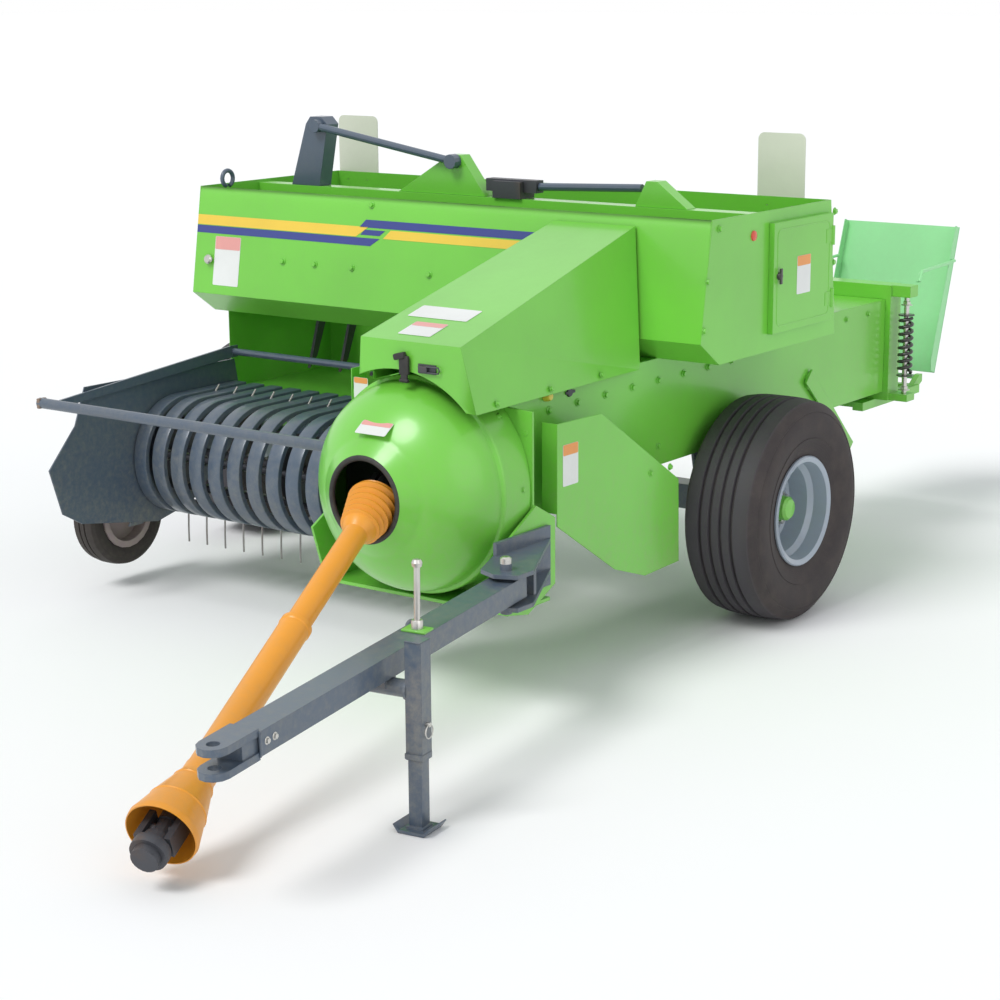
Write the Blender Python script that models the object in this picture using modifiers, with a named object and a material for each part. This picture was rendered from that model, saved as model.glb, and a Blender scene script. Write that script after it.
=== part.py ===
"""Small square baler, towed, with an offset drawbar, side pickup and straight bale chamber.

Metres. +Z up, +Y to the rear, +X to the machine's left. It is modelled with x = 0 on the bale
chamber's centreline, y = 0 on the wheel axle and z = 0 on the ground. The last section moves the
whole machine so that the middle of its underside box is the origin.
"""

from math import cos, hypot, pi, radians, sin

import bmesh
import bpy
from mathutils import Matrix, Vector

# ------------------------------------------------------------------ driving dimensions
FIT = 0.0003              # gap kept between pieces that touch
RUN = 0.006               # gap kept between pieces that move past each other
SHEET = 0.003             # sheet-metal wall
PLATE = 0.008             # welded plate

CHAMBER_WIDTH = 0.44      # outside, for a bale 420 mm wide
CHAMBER_BOTTOM = 0.54
CHAMBER_HEIGHT = 0.33     # outside, for a bale 320 mm high
CHAMBER_FRONT = -1.20
CHAMBER_REAR = 1.17
CHAMBER_WALL = 0.005

AXLE_HEIGHT = 0.352
TYRE_WIDTH = 0.264
TYRE_RADIUS = 0.352
TYRE_WALL = 0.011
RIM_RADIUS = 0.169
LEFT_WHEEL_X = 0.382
RIGHT_WHEEL_X = -1.742
SPINDLE_RADIUS = 0.024
BEAD_SHARE = 0.80         # the beads' spacing as a share of the tyre's width
FLANGE_HEIGHT = 0.016
FLANGE_THICKNESS = 0.006
AXLE_BEAM = 0.08

BOX_RIGHT = -1.588        # the cross feeder box
BOX_LEFT = 0.436
BOX_TOP = 1.30
BOX_FRONT_TOP = -0.48
BOX_FRONT_BOTTOM = -0.536
BOX_FRONT_EDGE = 0.944
BOX_CHAMFER_BACK = -0.43
BOX_BACK_TOP = 0.24
BOX_BACK_BOTTOM = 0.285

BELL_RADIUS = 0.31        # the flywheel cover
BELL_HEIGHT = 0.62
BELL_RIM_LENGTH = 0.12
BELL_LENGTH = 0.34
BELL_MOUTH = 0.116
FLYWHEEL_GAP = 0.05

HOOD_FRONT = -1.40
HOOD_FRONT_TOP = 1.035
HOOD_REAR_TOP = 1.27
HOOD_BOTTOM = 0.857

FLOOR_TOP = 0.60          # the feeder channel to the chamber's side
FLOOR_FRONT = -0.38
FLOOR_BACK = 0.13
FEEDER_END = -1.545

PICKUP_RIGHT = -1.516     # outer face of its right side plate
PICKUP_LEFT = -0.345
PICKUP_PIVOT = (-0.40, 0.56)
REEL_Y = -0.73
REEL_Z = 0.43
BAND_RADIUS = 0.20
TINE_REACH = 0.30
BAND_COUNT = 14
TINE_ROWS = 4
WHEEL_STEPS = 32          # flats round a large turned piece
SMALL_STEPS = 20

GAUGE_X = -1.60
GAUGE_Y = -0.92
GAUGE_Z = 0.24
GAUGE_RADIUS = 0.17
GAUGE_WIDTH = 0.10

DRAWBAR_PIVOT = (0.437, -1.50)
DRAWBAR_ANGLE = radians(7.4)
DRAWBAR_HEIGHT = 0.432     # the bar's middle at its pivot
DRAWBAR_SLOPE = radians(2.7)   # down towards the hitch
DRAWBAR_TUBE = 0.08
DRAWBAR_DEPTH = 0.058
DRAWBAR_LENGTH = 1.18
CLEVIS_REACH = 1.295      # pivot to the hitch hole
JACK_REACH = 0.63
JACK_GAP = 0.0435          # between the bar and the jack's tube
JACK_OUTER = 0.045
JACK_WALL = 0.0035
JACK_INNER = 0.037
FOOT_WIDTH = 0.115
FOOT_LENGTH = 0.165

PTO_PIVOT = (0.0, -1.47, 0.625)
PTO_YAW = radians(16.1)
PTO_PITCH = radians(21.4)
PTO_LENGTH = 1.47

CHUTE_HINGE = (1.46, 0.53)
CHUTE_LENGTH = 0.57
CHUTE_LEAN = radians(18)
CHUTE_WIDTH = 0.46

CHAMBER_HALF = CHAMBER_WIDTH / 2
CHAMBER_TOP = CHAMBER_BOTTOM + CHAMBER_HEIGHT
BOX_FLOOR = CHAMBER_TOP + FIT
BELL_BACK = CHAMBER_FRONT - PLATE - 2 * FIT

GREEN = (0.13, 0.62, 0.07, 1)
PALE_GREEN = (0.30, 0.72, 0.35, 1)
SLATE = (0.07, 0.12, 0.18, 1)
ORANGE = (0.95, 0.45, 0.04, 1)
RUBBER = (0.03, 0.025, 0.025, 1)
STEEL = (0.45, 0.45, 0.43, 1)
RIM_PAINT = (0.55, 0.62, 0.72, 1)
DARK = (0.02, 0.02, 0.025, 1)
CREAM = (0.75, 0.70, 0.60, 1)

# ------------------------------------------------------------------ helpers
for old in list(bpy.data.objects):
    bpy.data.objects.remove(old, do_unlink=True)

parts = bpy.data.collections.new("square_baler")
cutters = bpy.data.collections.new("cutters")
bpy.context.scene.collection.children.link(parts)
bpy.context.scene.collection.children.link(cutters)


def paint(obj, colour, roughness=0.4, metallic=0.0):
    material = bpy.data.materials.new(obj.name)
    material.use_nodes = True
    shader = material.node_tree.nodes["Principled BSDF"]
    shader.inputs["Base Color"].default_value = colour
    shader.inputs["Roughness"].default_value = roughness
    shader.inputs["Metallic"].default_value = metallic
    obj.data.materials.append(material)


def new_mesh(name, mesh_work):
    mesh = bpy.data.meshes.new(name)
    mesh_work.to_mesh(mesh)
    mesh_work.free()
    obj = bpy.data.objects.new(name, mesh)
    cutters.objects.link(obj)
    return obj


def box(low, high, name="block"):
    """A block between two corners."""
    low, high = Vector(low), Vector(high)
    work = bmesh.new()
    bmesh.ops.create_cube(work, size=1.0)
    bmesh.ops.scale(work, vec=high - low, verts=work.verts)
    bmesh.ops.translate(work, vec=(low + high) / 2, verts=work.verts)
    return new_mesh(name, work)


def rod(start, end, radius, sides=16, name="rod"):
    """A solid cylinder between two points."""
    start, end = Vector(start), Vector(end)
    work = bmesh.new()
    bmesh.ops.create_cone(
        work, cap_ends=True, segments=sides, radius1=radius, radius2=radius, depth=(end - start).length
    )
    turn = Vector((0, 0, 1)).rotation_difference(end - start).to_matrix().to_4x4()
    place = Matrix.Translation((start + end) / 2) @ turn
    bmesh.ops.transform(work, matrix=place, verts=work.verts)
    return new_mesh(name, work)


def as_mesh(obj):
    """The evaluated shape of a curve or a Screw as a welded mesh, in place of the object."""
    bpy.context.view_layer.update()
    shape = obj.evaluated_get(bpy.context.evaluated_depsgraph_get())
    mesh = bpy.data.meshes.new_from_object(shape)
    work = bmesh.new()
    work.from_mesh(mesh)
    bmesh.ops.transform(work, matrix=obj.matrix_world, verts=work.verts)
    bmesh.ops.remove_doubles(work, verts=work.verts, dist=0.00002)
    bmesh.ops.recalc_face_normals(work, faces=work.faces)
    name = obj.name
    bpy.data.objects.remove(obj, do_unlink=True)
    return new_mesh(name, work)


PLANES = {
    "X": Matrix(((0, 0, 1, 0), (1, 0, 0, 0), (0, 1, 0, 0), (0, 0, 0, 1))),
    "Y": Matrix(((1, 0, 0, 0), (0, 0, -1, 0), (0, 1, 0, 0), (0, 0, 0, 1))),
    "Z": Matrix.Identity(4),
}


def plate(outline, facing, low, high, name="plate"):
    """A flat outline, given in the two other axes, filling the space from low to high along one axis."""
    curve = bpy.data.curves.new(name, "CURVE")
    curve.dimensions = "2D"
    curve.fill_mode = "BOTH"
    curve.extrude = (high - low) / 2
    spline = curve.splines.new("POLY")
    spline.points.add(len(outline) - 1)
    for point, (u, v) in zip(spline.points, outline):
        point.co = (u, v, 0, 1)
    spline.use_cyclic_u = True
    obj = bpy.data.objects.new(name, curve)
    cutters.objects.link(obj)
    middle = (low + high) / 2
    shift = {"X": (middle, 0, 0), "Y": (0, middle, 0), "Z": (0, 0, middle)}[facing]
    obj.matrix_world = Matrix.Translation(shift) @ PLANES[facing]
    return as_mesh(obj)


def pipe(route, radius, name="pipe", resolution=3):
    """A round bar bent along a route of points."""
    curve = bpy.data.curves.new(name, "CURVE")
    curve.dimensions = "3D"
    curve.bevel_depth = radius
    curve.bevel_resolution = resolution
    curve.use_fill_caps = True
    spline = curve.splines.new("POLY")
    spline.points.add(len(route) - 1)
    for point, place in zip(spline.points, route):
        point.co = (*place, 1)
    obj = bpy.data.objects.new(name, curve)
    cutters.objects.link(obj)
    return as_mesh(obj)


def turned(profile, place, steps=32, closed=True, name="turned"):
    """A ring or solid of revolution. The profile's (radius, height) runs down its outer side."""
    work = bmesh.new()
    corners = [work.verts.new((radius, 0, height)) for radius, height in profile]
    for first, second in zip(corners, corners[1:]):
        work.edges.new((first, second))
    if closed:
        work.edges.new((corners[-1], corners[0]))
    obj = new_mesh(name, work)
    screw = obj.modifiers.new("turn", "SCREW")
    screw.axis = "Z"
    screw.steps = steps
    screw.render_steps = steps
    screw.use_merge_vertices = True
    screw.merge_threshold = 0.00001
    obj.matrix_world = place
    return as_mesh(obj)


def facing_x(x, y, z, sign=1):
    """A frame whose Z axis points along +X or -X."""
    return Matrix.Translation((x, y, z)) @ Matrix.Rotation(sign * pi / 2, 4, "Y")


def facing_front(x, y, z):
    """A frame whose Z axis points forwards, along -Y."""
    return Matrix.Translation((x, y, z)) @ Matrix.Rotation(pi / 2, 4, "X")


def helper(obj):
    obj.hide_render = True
    obj.display_type = "WIRE"
    obj.hide_set(True)
    return obj


def combine(obj, others, operation, parent):
    for other in others:
        hang(other, parent)
        change = obj.modifiers.new(operation.lower(), "BOOLEAN")
        change.operation = operation
        change.solver = "EXACT"
        change.object = helper(other)


def node(name, base, colour, joint=None, add=(), cut=(), roughness=0.4, metallic=0.0):
    """Name a finished piece, join and cut its shapes, paint it and hang it on its joint."""
    base.name = name
    base.data.name = name
    cutters.objects.unlink(base)
    parts.objects.link(base)
    parent = joint or machine
    combine(base, add, "UNION", parent)
    combine(base, cut, "DIFFERENCE", parent)
    paint(base, colour, roughness, metallic)
    hang(base, parent)
    base.data.shade_smooth()
    base.data.set_sharp_from_angle(angle=radians(35))
    return base


def hang(obj, parent):
    bpy.context.view_layer.update()
    obj.parent = parent
    obj.matrix_parent_inverse = parent.matrix_world.inverted()


def joint_empty(name, place, parent=None):
    """The axis of a moving piece. The joint's axis is the empty's own X, Y or Z axis."""
    empty = bpy.data.objects.new(name, None)
    empty.empty_display_size = 0.15
    bpy.context.scene.collection.objects.link(empty)
    empty.matrix_world = place if isinstance(place, Matrix) else Matrix.Translation(place)
    if parent:
        hang(empty, parent)
    return empty


machine = joint_empty("machine", (0, 0, 0))


# ------------------------------------------------------------------ bale chamber and front frame
def bale_chamber():
    half, wall = CHAMBER_HALF, CHAMBER_WALL
    shell = box((-half, CHAMBER_FRONT, CHAMBER_BOTTOM), (half, CHAMBER_REAR, CHAMBER_TOP))
    inside = box(
        (-half + wall, CHAMBER_FRONT + wall, CHAMBER_BOTTOM + wall),
        (half - wall, CHAMBER_REAR + 0.1, CHAMBER_TOP - wall),
    )
    feed_mouth = box((-half - 0.05, -0.33, FLOOR_TOP), (-half + 0.05, 0.10, CHAMBER_TOP - 0.02))
    needle_slots = [
        box((x - 0.012, 0.42, CHAMBER_BOTTOM - 0.1), (x + 0.012, 0.80, CHAMBER_TOP + 0.1))
        for x in (-0.11, 0.11)
    ]
    node("bale_chamber", shell, GREEN, cut=[inside, feed_mouth, *needle_slots])


def chamber_rear_frame():
    """The welded collar round the outlet, which carries the tension springs and the chute arms."""
    half = CHAMBER_HALF + FIT
    low, high = CHAMBER_BOTTOM - FIT, CHAMBER_TOP + FIT
    front, back = 1.07, 1.15
    outer = box((-half - 0.02, front, low - 0.03), (half + 0.02, back, high + 0.05))
    inner = box((-half, front - 0.1, low), (half, back + 0.1, high))
    rail = box((-half - 0.09, front + 0.01, high + 0.01), (half + 0.09, back - 0.01, high + 0.05))
    foot = box((-half - 0.09, front + 0.01, low - 0.03), (half + 0.09, back - 0.01, low - 0.005))
    node("chamber_rear_frame", outer, GREEN, add=[rail, foot], cut=[inner])


def front_frame():
    """The bulkhead behind the flywheel cover, with the cheeks that carry the drawbar's bracket."""
    rear = CHAMBER_FRONT - FIT
    front = rear - PLATE
    reach = BELL_RADIUS + 0.005
    outline = [(-reach, 0.30), (reach, 0.30), (reach, 0.84), (0.235, 0.845), (0.17, 0.90)]
    outline += [(-0.17, 0.90), (-0.235, 0.845), (-reach, 0.84)]
    wall = plate(outline, "Y", front, rear)
    cheek_outline = [(-1.40, 0.47), (-1.345, 0.30), (-1.24, 0.28), (-1.11, 0.34), (-1.11, 0.53), (-1.20, 0.58)]
    cheeks = [plate(cheek_outline, "X", x, x + PLATE) for x in (BELL_RADIUS + 0.004, -BELL_RADIUS - 0.012)]
    tie = box((-BELL_RADIUS - 0.008, -1.33, 0.295), (BELL_RADIUS + 0.008, -1.13, 0.305))
    strut_outline = [(-1.205, 0.30), (-0.95, CHAMBER_BOTTOM - FIT), (-1.205, CHAMBER_BOTTOM - FIT)]
    struts = [
        plate(strut_outline, "X", x, x + PLATE)
        for x in (-0.20, 0.19)
    ]
    node("front_frame", wall, GREEN, add=[*cheeks, tie, *struts])


def drawbar_bracket():
    """The forked bracket, bolted to the left cheek, that holds the drawbar's upright pivot pin."""
    x, y = DRAWBAR_PIVOT
    cheek_face = BELL_RADIUS + 0.004 + PLATE + FIT
    low, high = DRAWBAR_HEIGHT - 0.085, DRAWBAR_HEIGHT + 0.085
    back = box((cheek_face, -1.40, low), (cheek_face + 0.012, -1.15, high))
    half = DRAWBAR_TUBE / 2 + RUN
    reach = hypot(half, half) + 0.012
    rise = DRAWBAR_DEPTH / 2 + RUN + 0.06 * sin(DRAWBAR_SLOPE)
    jaws = []
    for low, high in ((-rise - 0.012, -rise), (rise, rise + 0.012)):
        outline = [(cheek_face, -1.40), (x - 0.06, y - 0.03), (x, y - 0.055), (x + 0.06, y - 0.03)]
        outline += [(x + 0.06, y + 0.04), (cheek_face + 0.012, -1.15), (cheek_face, -1.15)]
        jaws.append(plate(outline, "Z", DRAWBAR_HEIGHT + low, DRAWBAR_HEIGHT + high))
    web = box(
        (cheek_face, y + reach + 0.02, DRAWBAR_HEIGHT - rise - 0.006),
        (x + 0.02, y + reach + 0.032, DRAWBAR_HEIGHT + rise + 0.006),
    )
    pin = rod((x, y, DRAWBAR_HEIGHT - rise - 0.03), (x, y, DRAWBAR_HEIGHT + rise + 0.03), 0.016)
    node("drawbar_bracket", back, SLATE, add=[*jaws, web, pin])


bale_chamber()
chamber_rear_frame()
front_frame()
drawbar_bracket()


# ------------------------------------------------------------------ axle and wheels
def axle_beam():
    """One square beam under the chamber and feeder, with a spindle at each end."""
    half = AXLE_BEAM / 2
    right_end = RIGHT_WHEEL_X + TYRE_WIDTH / 2 + 0.02
    left_end = LEFT_WHEEL_X - TYRE_WIDTH / 2 - 0.02
    beam = box((right_end, -half, AXLE_HEIGHT - half), (left_end, half, AXLE_HEIGHT + half))
    spindle = rod(
        (RIGHT_WHEEL_X - 0.055, 0, AXLE_HEIGHT), (LEFT_WHEEL_X + 0.055, 0, AXLE_HEIGHT), SPINDLE_RADIUS
    )
    hangers = []
    for x, top, width in ((0.0, CHAMBER_BOTTOM - FIT, 0.30), (-0.85, FLOOR_TOP - SHEET - FIT, 0.30)):
        outline = [(-0.06, AXLE_HEIGHT - 0.03), (0.06, AXLE_HEIGHT - 0.03), (0.11, top), (-0.11, top)]
        for side in (-width / 2, width / 2):
            hangers.append(plate(outline, "X", x + side - 0.005, x + side + 0.005))
    node("axle_beam", beam, SLATE, add=[spindle, *hangers])


def tyre_profile(radius, width, bead_radius):
    """Tread, rounded shoulders and side walls down to the beads; the hollow is open to the rim."""
    half = width / 2
    wall = TYRE_WALL
    bead_top = bead_radius + FLANGE_HEIGHT + 0.004
    outer = [
        (bead_radius + FIT, half * BEAD_SHARE),
        (bead_top, half * BEAD_SHARE),
        (radius * 0.70, half * 0.985),
        (radius * 0.84, half),
        (radius * 0.955, half * 0.80),
        (radius * 0.99, half * 0.60),
        (radius, half * 0.25),
        (radius, -half * 0.25),
        (radius * 0.99, -half * 0.60),
        (radius * 0.955, -half * 0.80),
        (radius * 0.84, -half),
        (radius * 0.70, -half * 0.985),
        (bead_top, -half * BEAD_SHARE),
        (bead_radius + FIT, -half * BEAD_SHARE),
    ]
    lining = [
        (bead_radius + FIT, -half * BEAD_SHARE + wall),
        (bead_top, -half * BEAD_SHARE + wall),
        (radius * 0.78, -half + wall),
        (radius * 0.93 - wall / 2, -half * 0.75 + wall / 2),
        (radius - 1.6 * wall, 0),
        (radius * 0.93 - wall / 2, half * 0.75 - wall / 2),
        (radius * 0.78, half - wall),
        (bead_top, half * BEAD_SHARE - wall),
        (bead_radius + FIT, half * BEAD_SHARE - wall),
    ]
    return outer + lining


def road_wheel(side, x, outward):
    """Tyre, dished rim and hub of one road wheel. outward is +1 on the left wheel, -1 on the right."""
    spin = joint_empty(f"{side}_wheel_axis", (x, 0, AXLE_HEIGHT), machine)
    place = facing_x(x, 0, AXLE_HEIGHT, outward)
    bead = RIM_RADIUS - 0.010
    node(
        f"{side}_tyre",
        turned(tyre_profile(TYRE_RADIUS, TYRE_WIDTH, bead), place, WHEEL_STEPS),
        RUBBER,
        spin,
        roughness=0.85,
    )
    half = TYRE_WIDTH / 2 * BEAD_SHARE + FIT
    edge = half + FLANGE_THICKNESS
    rim = [
        (bead + FLANGE_HEIGHT, edge),
        (bead + FLANGE_HEIGHT, half),
        (bead - FIT, half),
        (bead - FIT, -half),
        (bead + FLANGE_HEIGHT, -half),
        (bead + FLANGE_HEIGHT, -edge),
        (bead - 0.006, -edge),
        (bead - 0.006, -0.012),
        (0.085, -0.018),
        (0.045, -0.018),
        (0.045, -0.010),
        (0.085, -0.010),
        (bead - 0.006, 0.0),
        (bead - 0.006, edge),
    ]
    node(f"{side}_rim", turned(rim, place, WHEEL_STEPS), RIM_PAINT, spin)
    hub = [
        (0.0, 0.070),
        (0.030, 0.066),
        (0.038, 0.058),
        (0.040, 0.006),
        (0.074, 0.006),
        (0.074, -0.010 + FIT),
        (0.0445, -0.010 + FIT),
        (0.0445, -0.060),
        (SPINDLE_RADIUS + 0.002, -0.060),
        (SPINDLE_RADIUS + 0.002, 0.057),
        (0.0, 0.057),
    ]
    node(f"{side}_hub", turned(hub, place, 20, closed=False), GREEN, spin)


axle_beam()
road_wheel("left", LEFT_WHEEL_X, 1)
road_wheel("right", RIGHT_WHEEL_X, -1)


# ------------------------------------------------------------------ flywheel, its cover and the gearbox
def flywheel():
    """A heavy disc on the gearbox's input shaft, inside the cover."""
    y = BELL_BACK - 0.03
    spin = joint_empty("flywheel_axis", (0, y, BELL_HEIGHT), machine)
    radius = BELL_RADIUS - FLYWHEEL_GAP
    disc = [(0.0, 0.03 + 0.12), (0.035, 0.15), (0.035, 0.08), (0.075, 0.075), (radius, 0.075)]
    disc += [(radius, 0.0), (0.03, 0.0), (0.0, 0.0)]
    node(
        "flywheel",
        turned(disc, facing_front(0, y, BELL_HEIGHT), 24, closed=False),
        DARK,
        spin,
        metallic=0.6,
    )


def flywheel_cover():
    """A pressed bell with a straight rim, open in front for the shaft, bolted to the bulkhead."""
    arc = [(BELL_MOUTH, BELL_LENGTH)]
    shoulder_radius, shoulder_height = 0.165, BELL_LENGTH - 0.035
    arc.append((shoulder_radius, shoulder_height))
    steps = 5
    for i in range(1, steps + 1):
        angle = i / steps * pi / 2
        radius = shoulder_radius + (BELL_RADIUS - 0.012 - shoulder_radius) * sin(angle)
        fall = 0.35 * cos(angle) + 0.65 * (1 - i / steps)
        height = BELL_RIM_LENGTH + (shoulder_height - BELL_RIM_LENGTH) * fall
        arc.append((radius, height))
    outer = arc + [(BELL_RADIUS, BELL_RIM_LENGTH), (BELL_RADIUS, 0)]
    inner = [(radius - SHEET, height - SHEET) for radius, height in reversed(outer[:-1])]
    inner = [(BELL_RADIUS - SHEET, 0), *inner]
    inner[-1] = (BELL_MOUTH, BELL_LENGTH - SHEET)
    node("flywheel_cover", turned(outer + inner, facing_front(0, BELL_BACK, BELL_HEIGHT), WHEEL_STEPS), GREEN)


def gearbox():
    """The cast gearbox under the hood, as a plain block, with its feet on the chamber's roof."""
    low = CHAMBER_TOP + FIT
    block = box((-0.095, -1.05, low), (0.125, -0.72, low + 0.13))
    neck = box((-0.045, -0.95, low + 0.1), (0.075, -0.80, low + 0.19))
    node("gearbox", block, DARK, add=[neck], metallic=0.4)


flywheel()
flywheel_cover()
gearbox()


# ------------------------------------------------------------------ hood over the gearbox
def loft_shell(front, rear, thickness, name="shell"):
    """A sheet from a row of points to an equal row behind it, thickened inwards."""
    work = bmesh.new()
    first = [work.verts.new(point) for point in front]
    second = [work.verts.new(point) for point in rear]
    for i in range(len(first) - 1):
        work.faces.new((first[i], first[i + 1], second[i + 1], second[i]))
    work.faces.new(list(reversed(first)))
    bmesh.ops.recalc_face_normals(work, faces=work.faces)
    obj = new_mesh(name, work)
    wall = obj.modifiers.new("wall", "SOLIDIFY")
    wall.thickness = thickness
    wall.offset = -1
    wall.use_even_offset = True
    return obj


def hood():
    """A tapering sheet-metal wedge, open below and behind, hinged along its upper rear edge."""
    rear_top_y = BOX_FRONT_TOP - 0.012
    lean = (BOX_FRONT_BOTTOM - BOX_FRONT_TOP) / (BOX_FRONT_EDGE - BOX_TOP)
    rear_bottom_y = BOX_FRONT_TOP - 0.012 + lean * (HOOD_BOTTOM - BOX_TOP)
    hinge = joint_empty("hood_axis", (0, rear_top_y, HOOD_REAR_TOP), machine)
    right_foot = CHAMBER_TOP + RUN
    front = [(-0.135, right_foot), (-0.123, HOOD_FRONT_TOP), (0.22, HOOD_FRONT_TOP), (0.27, HOOD_BOTTOM)]
    rear = [
        (-0.12, rear_bottom_y, right_foot),
        (-0.11, rear_top_y, HOOD_REAR_TOP),
        (0.18, rear_top_y, HOOD_REAR_TOP),
        (0.245, rear_bottom_y, HOOD_BOTTOM),
    ]
    shell = loft_shell([(x, HOOD_FRONT, z) for x, z in front], rear, SHEET)
    notch = rod(
        (0, HOOD_FRONT - 0.05, BELL_HEIGHT), (0, CHAMBER_FRONT + RUN, BELL_HEIGHT), BELL_RADIUS + RUN, 48
    )
    node("hood", shell, GREEN, hinge, cut=[notch])


hood()


# ------------------------------------------------------------------ cross feeder box and its channel
def feeder_box():
    """The open-topped trough across the machine that holds the feeder's crank and forks."""
    section = [
        (BOX_FRONT_TOP, BOX_TOP),
        (BOX_FRONT_BOTTOM, BOX_FRONT_EDGE),
        (BOX_CHAMFER_BACK, BOX_FLOOR),
        (BOX_BACK_BOTTOM, BOX_FLOOR),
        (BOX_BACK_TOP, BOX_TOP),
    ]
    outer = plate(section, "X", BOX_RIGHT, BOX_LEFT, "trough")
    wall = SHEET
    inside = [
        (BOX_FRONT_TOP + wall, BOX_TOP + 0.02),
        (BOX_FRONT_BOTTOM + wall, BOX_FRONT_EDGE + 0.0015),
        (BOX_CHAMFER_BACK + 0.0015, BOX_FLOOR + wall),
        (BOX_BACK_BOTTOM - wall, BOX_FLOOR + wall),
        (BOX_BACK_TOP - wall, BOX_TOP + 0.02),
    ]
    hollow = plate(inside, "X", BOX_RIGHT + wall, BOX_LEFT - wall, "hollow")
    fork_slot = box((-1.42, -0.28, BOX_FLOOR - 0.05), (-0.26, 0.06, BOX_FLOOR + 0.05))
    door_hole = box((BOX_LEFT - 0.05, -0.12, 0.965), (BOX_LEFT + 0.05, 0.205, 1.225))
    node("feeder_box", outer, GREEN, cut=[hollow, fork_slot, door_hole])


def feeder_channel():
    """Floor, back wall and right end wall of the channel along which the hay is raked to the chamber."""
    left = -CHAMBER_HALF - FIT
    top = BOX_FLOOR - FIT
    wall = SHEET
    section = [
        (FLOOR_FRONT, FLOOR_TOP),
        (FLOOR_FRONT, FLOOR_TOP - 0.04),
        (FLOOR_FRONT + wall, FLOOR_TOP - 0.04),
        (FLOOR_FRONT + wall, FLOOR_TOP - wall),
        (FLOOR_BACK, FLOOR_TOP - wall),
        (FLOOR_BACK, top),
        (FLOOR_BACK - wall, top),
        (FLOOR_BACK - wall, FLOOR_TOP),
    ]
    end_front = BOX_CHAMFER_BACK + 0.02
    end_outline = [(FLOOR_FRONT + 0.001, FLOOR_TOP - 0.002), (FLOOR_BACK - 0.001, FLOOR_TOP - 0.002)]
    end_outline += [(FLOOR_BACK - 0.001, top - 0.001), (end_front, top - 0.001), (end_front, 0.72)]
    end = plate(end_outline, "X", FEEDER_END + 0.0005, FEEDER_END + wall)
    node("feeder_channel", plate(section, "X", FEEDER_END, left), GREEN, add=[end])


def box_cross_member():
    """The bridge across the open trough that carries the feeder's levers."""
    low, high = BOX_TOP - 0.05, BOX_TOP - 0.01
    beam = box((BOX_RIGHT + SHEET + FIT, -0.19, low), (BOX_LEFT - SHEET - FIT, -0.13, high))
    node("feeder_bridge", beam, GREEN)


def feeder_gear():
    """Upright lever, two bell cranks and their rods above the trough."""
    y = -0.16
    top = BOX_TOP - 0.01 + FIT
    tower = plate(
        [(-1.43, top), (-1.305, top), (-1.265, 1.50), (-1.29, 1.525), (-1.34, 1.525), (-1.36, 1.50)], "Y", y - 0.03, y + 0.03
    )
    node("feeder_lever", tower, SLATE)
    crank = plate([(-0.96, top), (-0.60, top), (-0.70, 1.42), (-0.745, 1.42)], "Y", y - 0.025, y + 0.025)
    node("feeder_crank", crank, GREEN)
    node("feeder_rod_right", rod((-1.30, y - 0.045, 1.495), (-0.72, y - 0.04, 1.40), 0.013, 10), SLATE,
         add=[rod((-1.30, y - 0.0303, 1.495), (-1.30, y - 0.058, 1.495), 0.022, 12),
              rod((-0.72, y - 0.0253, 1.40), (-0.72, y - 0.058, 1.40), 0.024, 12)])
    clamp = box((-0.56, y - 0.04, top), (-0.45, y + 0.04, 1.345))
    node("feeder_clamp", clamp, DARK, add=[box((-0.60, y - 0.02, 1.31), (-0.40, y + 0.02, 1.35))])
    bracket = plate([(-0.02, top), (0.17, top), (0.06, 1.37), (0.02, 1.37)], "Y", y - 0.025, y + 0.025)
    node("feeder_bracket", bracket, GREEN)
    node("feeder_rod_left", rod((-0.399, y, 1.33), (-0.010, y, 1.345), 0.013, 10), SLATE)


def packer_fingers():
    """The raking fork below the trough: a bar with a row of fingers through the trough's slot."""
    y = -0.12
    bar = box((-1.38, y - 0.025, 1.02), (-0.32, y + 0.025, 1.07))
    count = 8
    fingers = []
    for i in range(count):
        x = -1.34 + i * (1.34 - 0.36) / (count - 1)
        outline = [(y + 0.02, 1.05), (y - 0.02, 1.05), (y - 0.05, 0.84), (y - 0.11, 0.66), (y - 0.07, 0.70)]
        outline.append((y - 0.01, 0.84))
        fingers.append(plate(outline, "X", x - 0.006, x + 0.006))
    posts = [box((x, y - 0.02, 1.06), (x + 0.04, y + 0.02, BOX_TOP - 0.05 - FIT)) for x in (-1.2, -0.5)]
    node("packer_fork", bar, DARK, add=[*fingers, *posts])


def twine_door():
    """The raised door on the trough's left end, hinged on its rear edge."""
    low_y, high_y = -0.148, 0.224
    face = BOX_LEFT + FIT
    hinge = joint_empty("twine_door_axis", (face + 0.010, high_y, 1.09), machine)
    outline = [(low_y, 0.925), (high_y, 0.925), (high_y, 1.262), (low_y, 1.262)]
    panel = plate(outline, "X", face, face + 0.018)
    tray = box((BOX_LEFT - 0.1, low_y + SHEET, 0.925 + SHEET), (face + 0.018 - SHEET, high_y - SHEET, 1.262 - SHEET))
    node("twine_door", panel, GREEN, hinge, cut=[tray])


def marker_plates():
    """Two pale upright plates with rounded tops on the trough's back wall."""
    for side, left, right in (("right", -1.585, -1.405), ("left", 0.165, 0.335)):
        back = BOX_BACK_TOP + FIT
        corner = 0.03
        outline = [(left, 1.24), (right, 1.24), (right, 1.50 - corner)]
        outline += [(right - corner + corner * sin(a), 1.50 - corner + corner * cos(a)) for a in (pi / 3, pi / 6, 0)]
        outline += [(left + corner - corner * sin(a), 1.50 - corner + corner * cos(a)) for a in (0, pi / 6, pi / 3)]
        outline.append((left, 1.50 - corner))
        node(f"marker_plate_{side}", plate(outline, "Y", back + 0.008, back + 0.012), CREAM)


feeder_box()
feeder_channel()
box_cross_member()
feeder_gear()
packer_fingers()
twine_door()
marker_plates()


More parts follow.
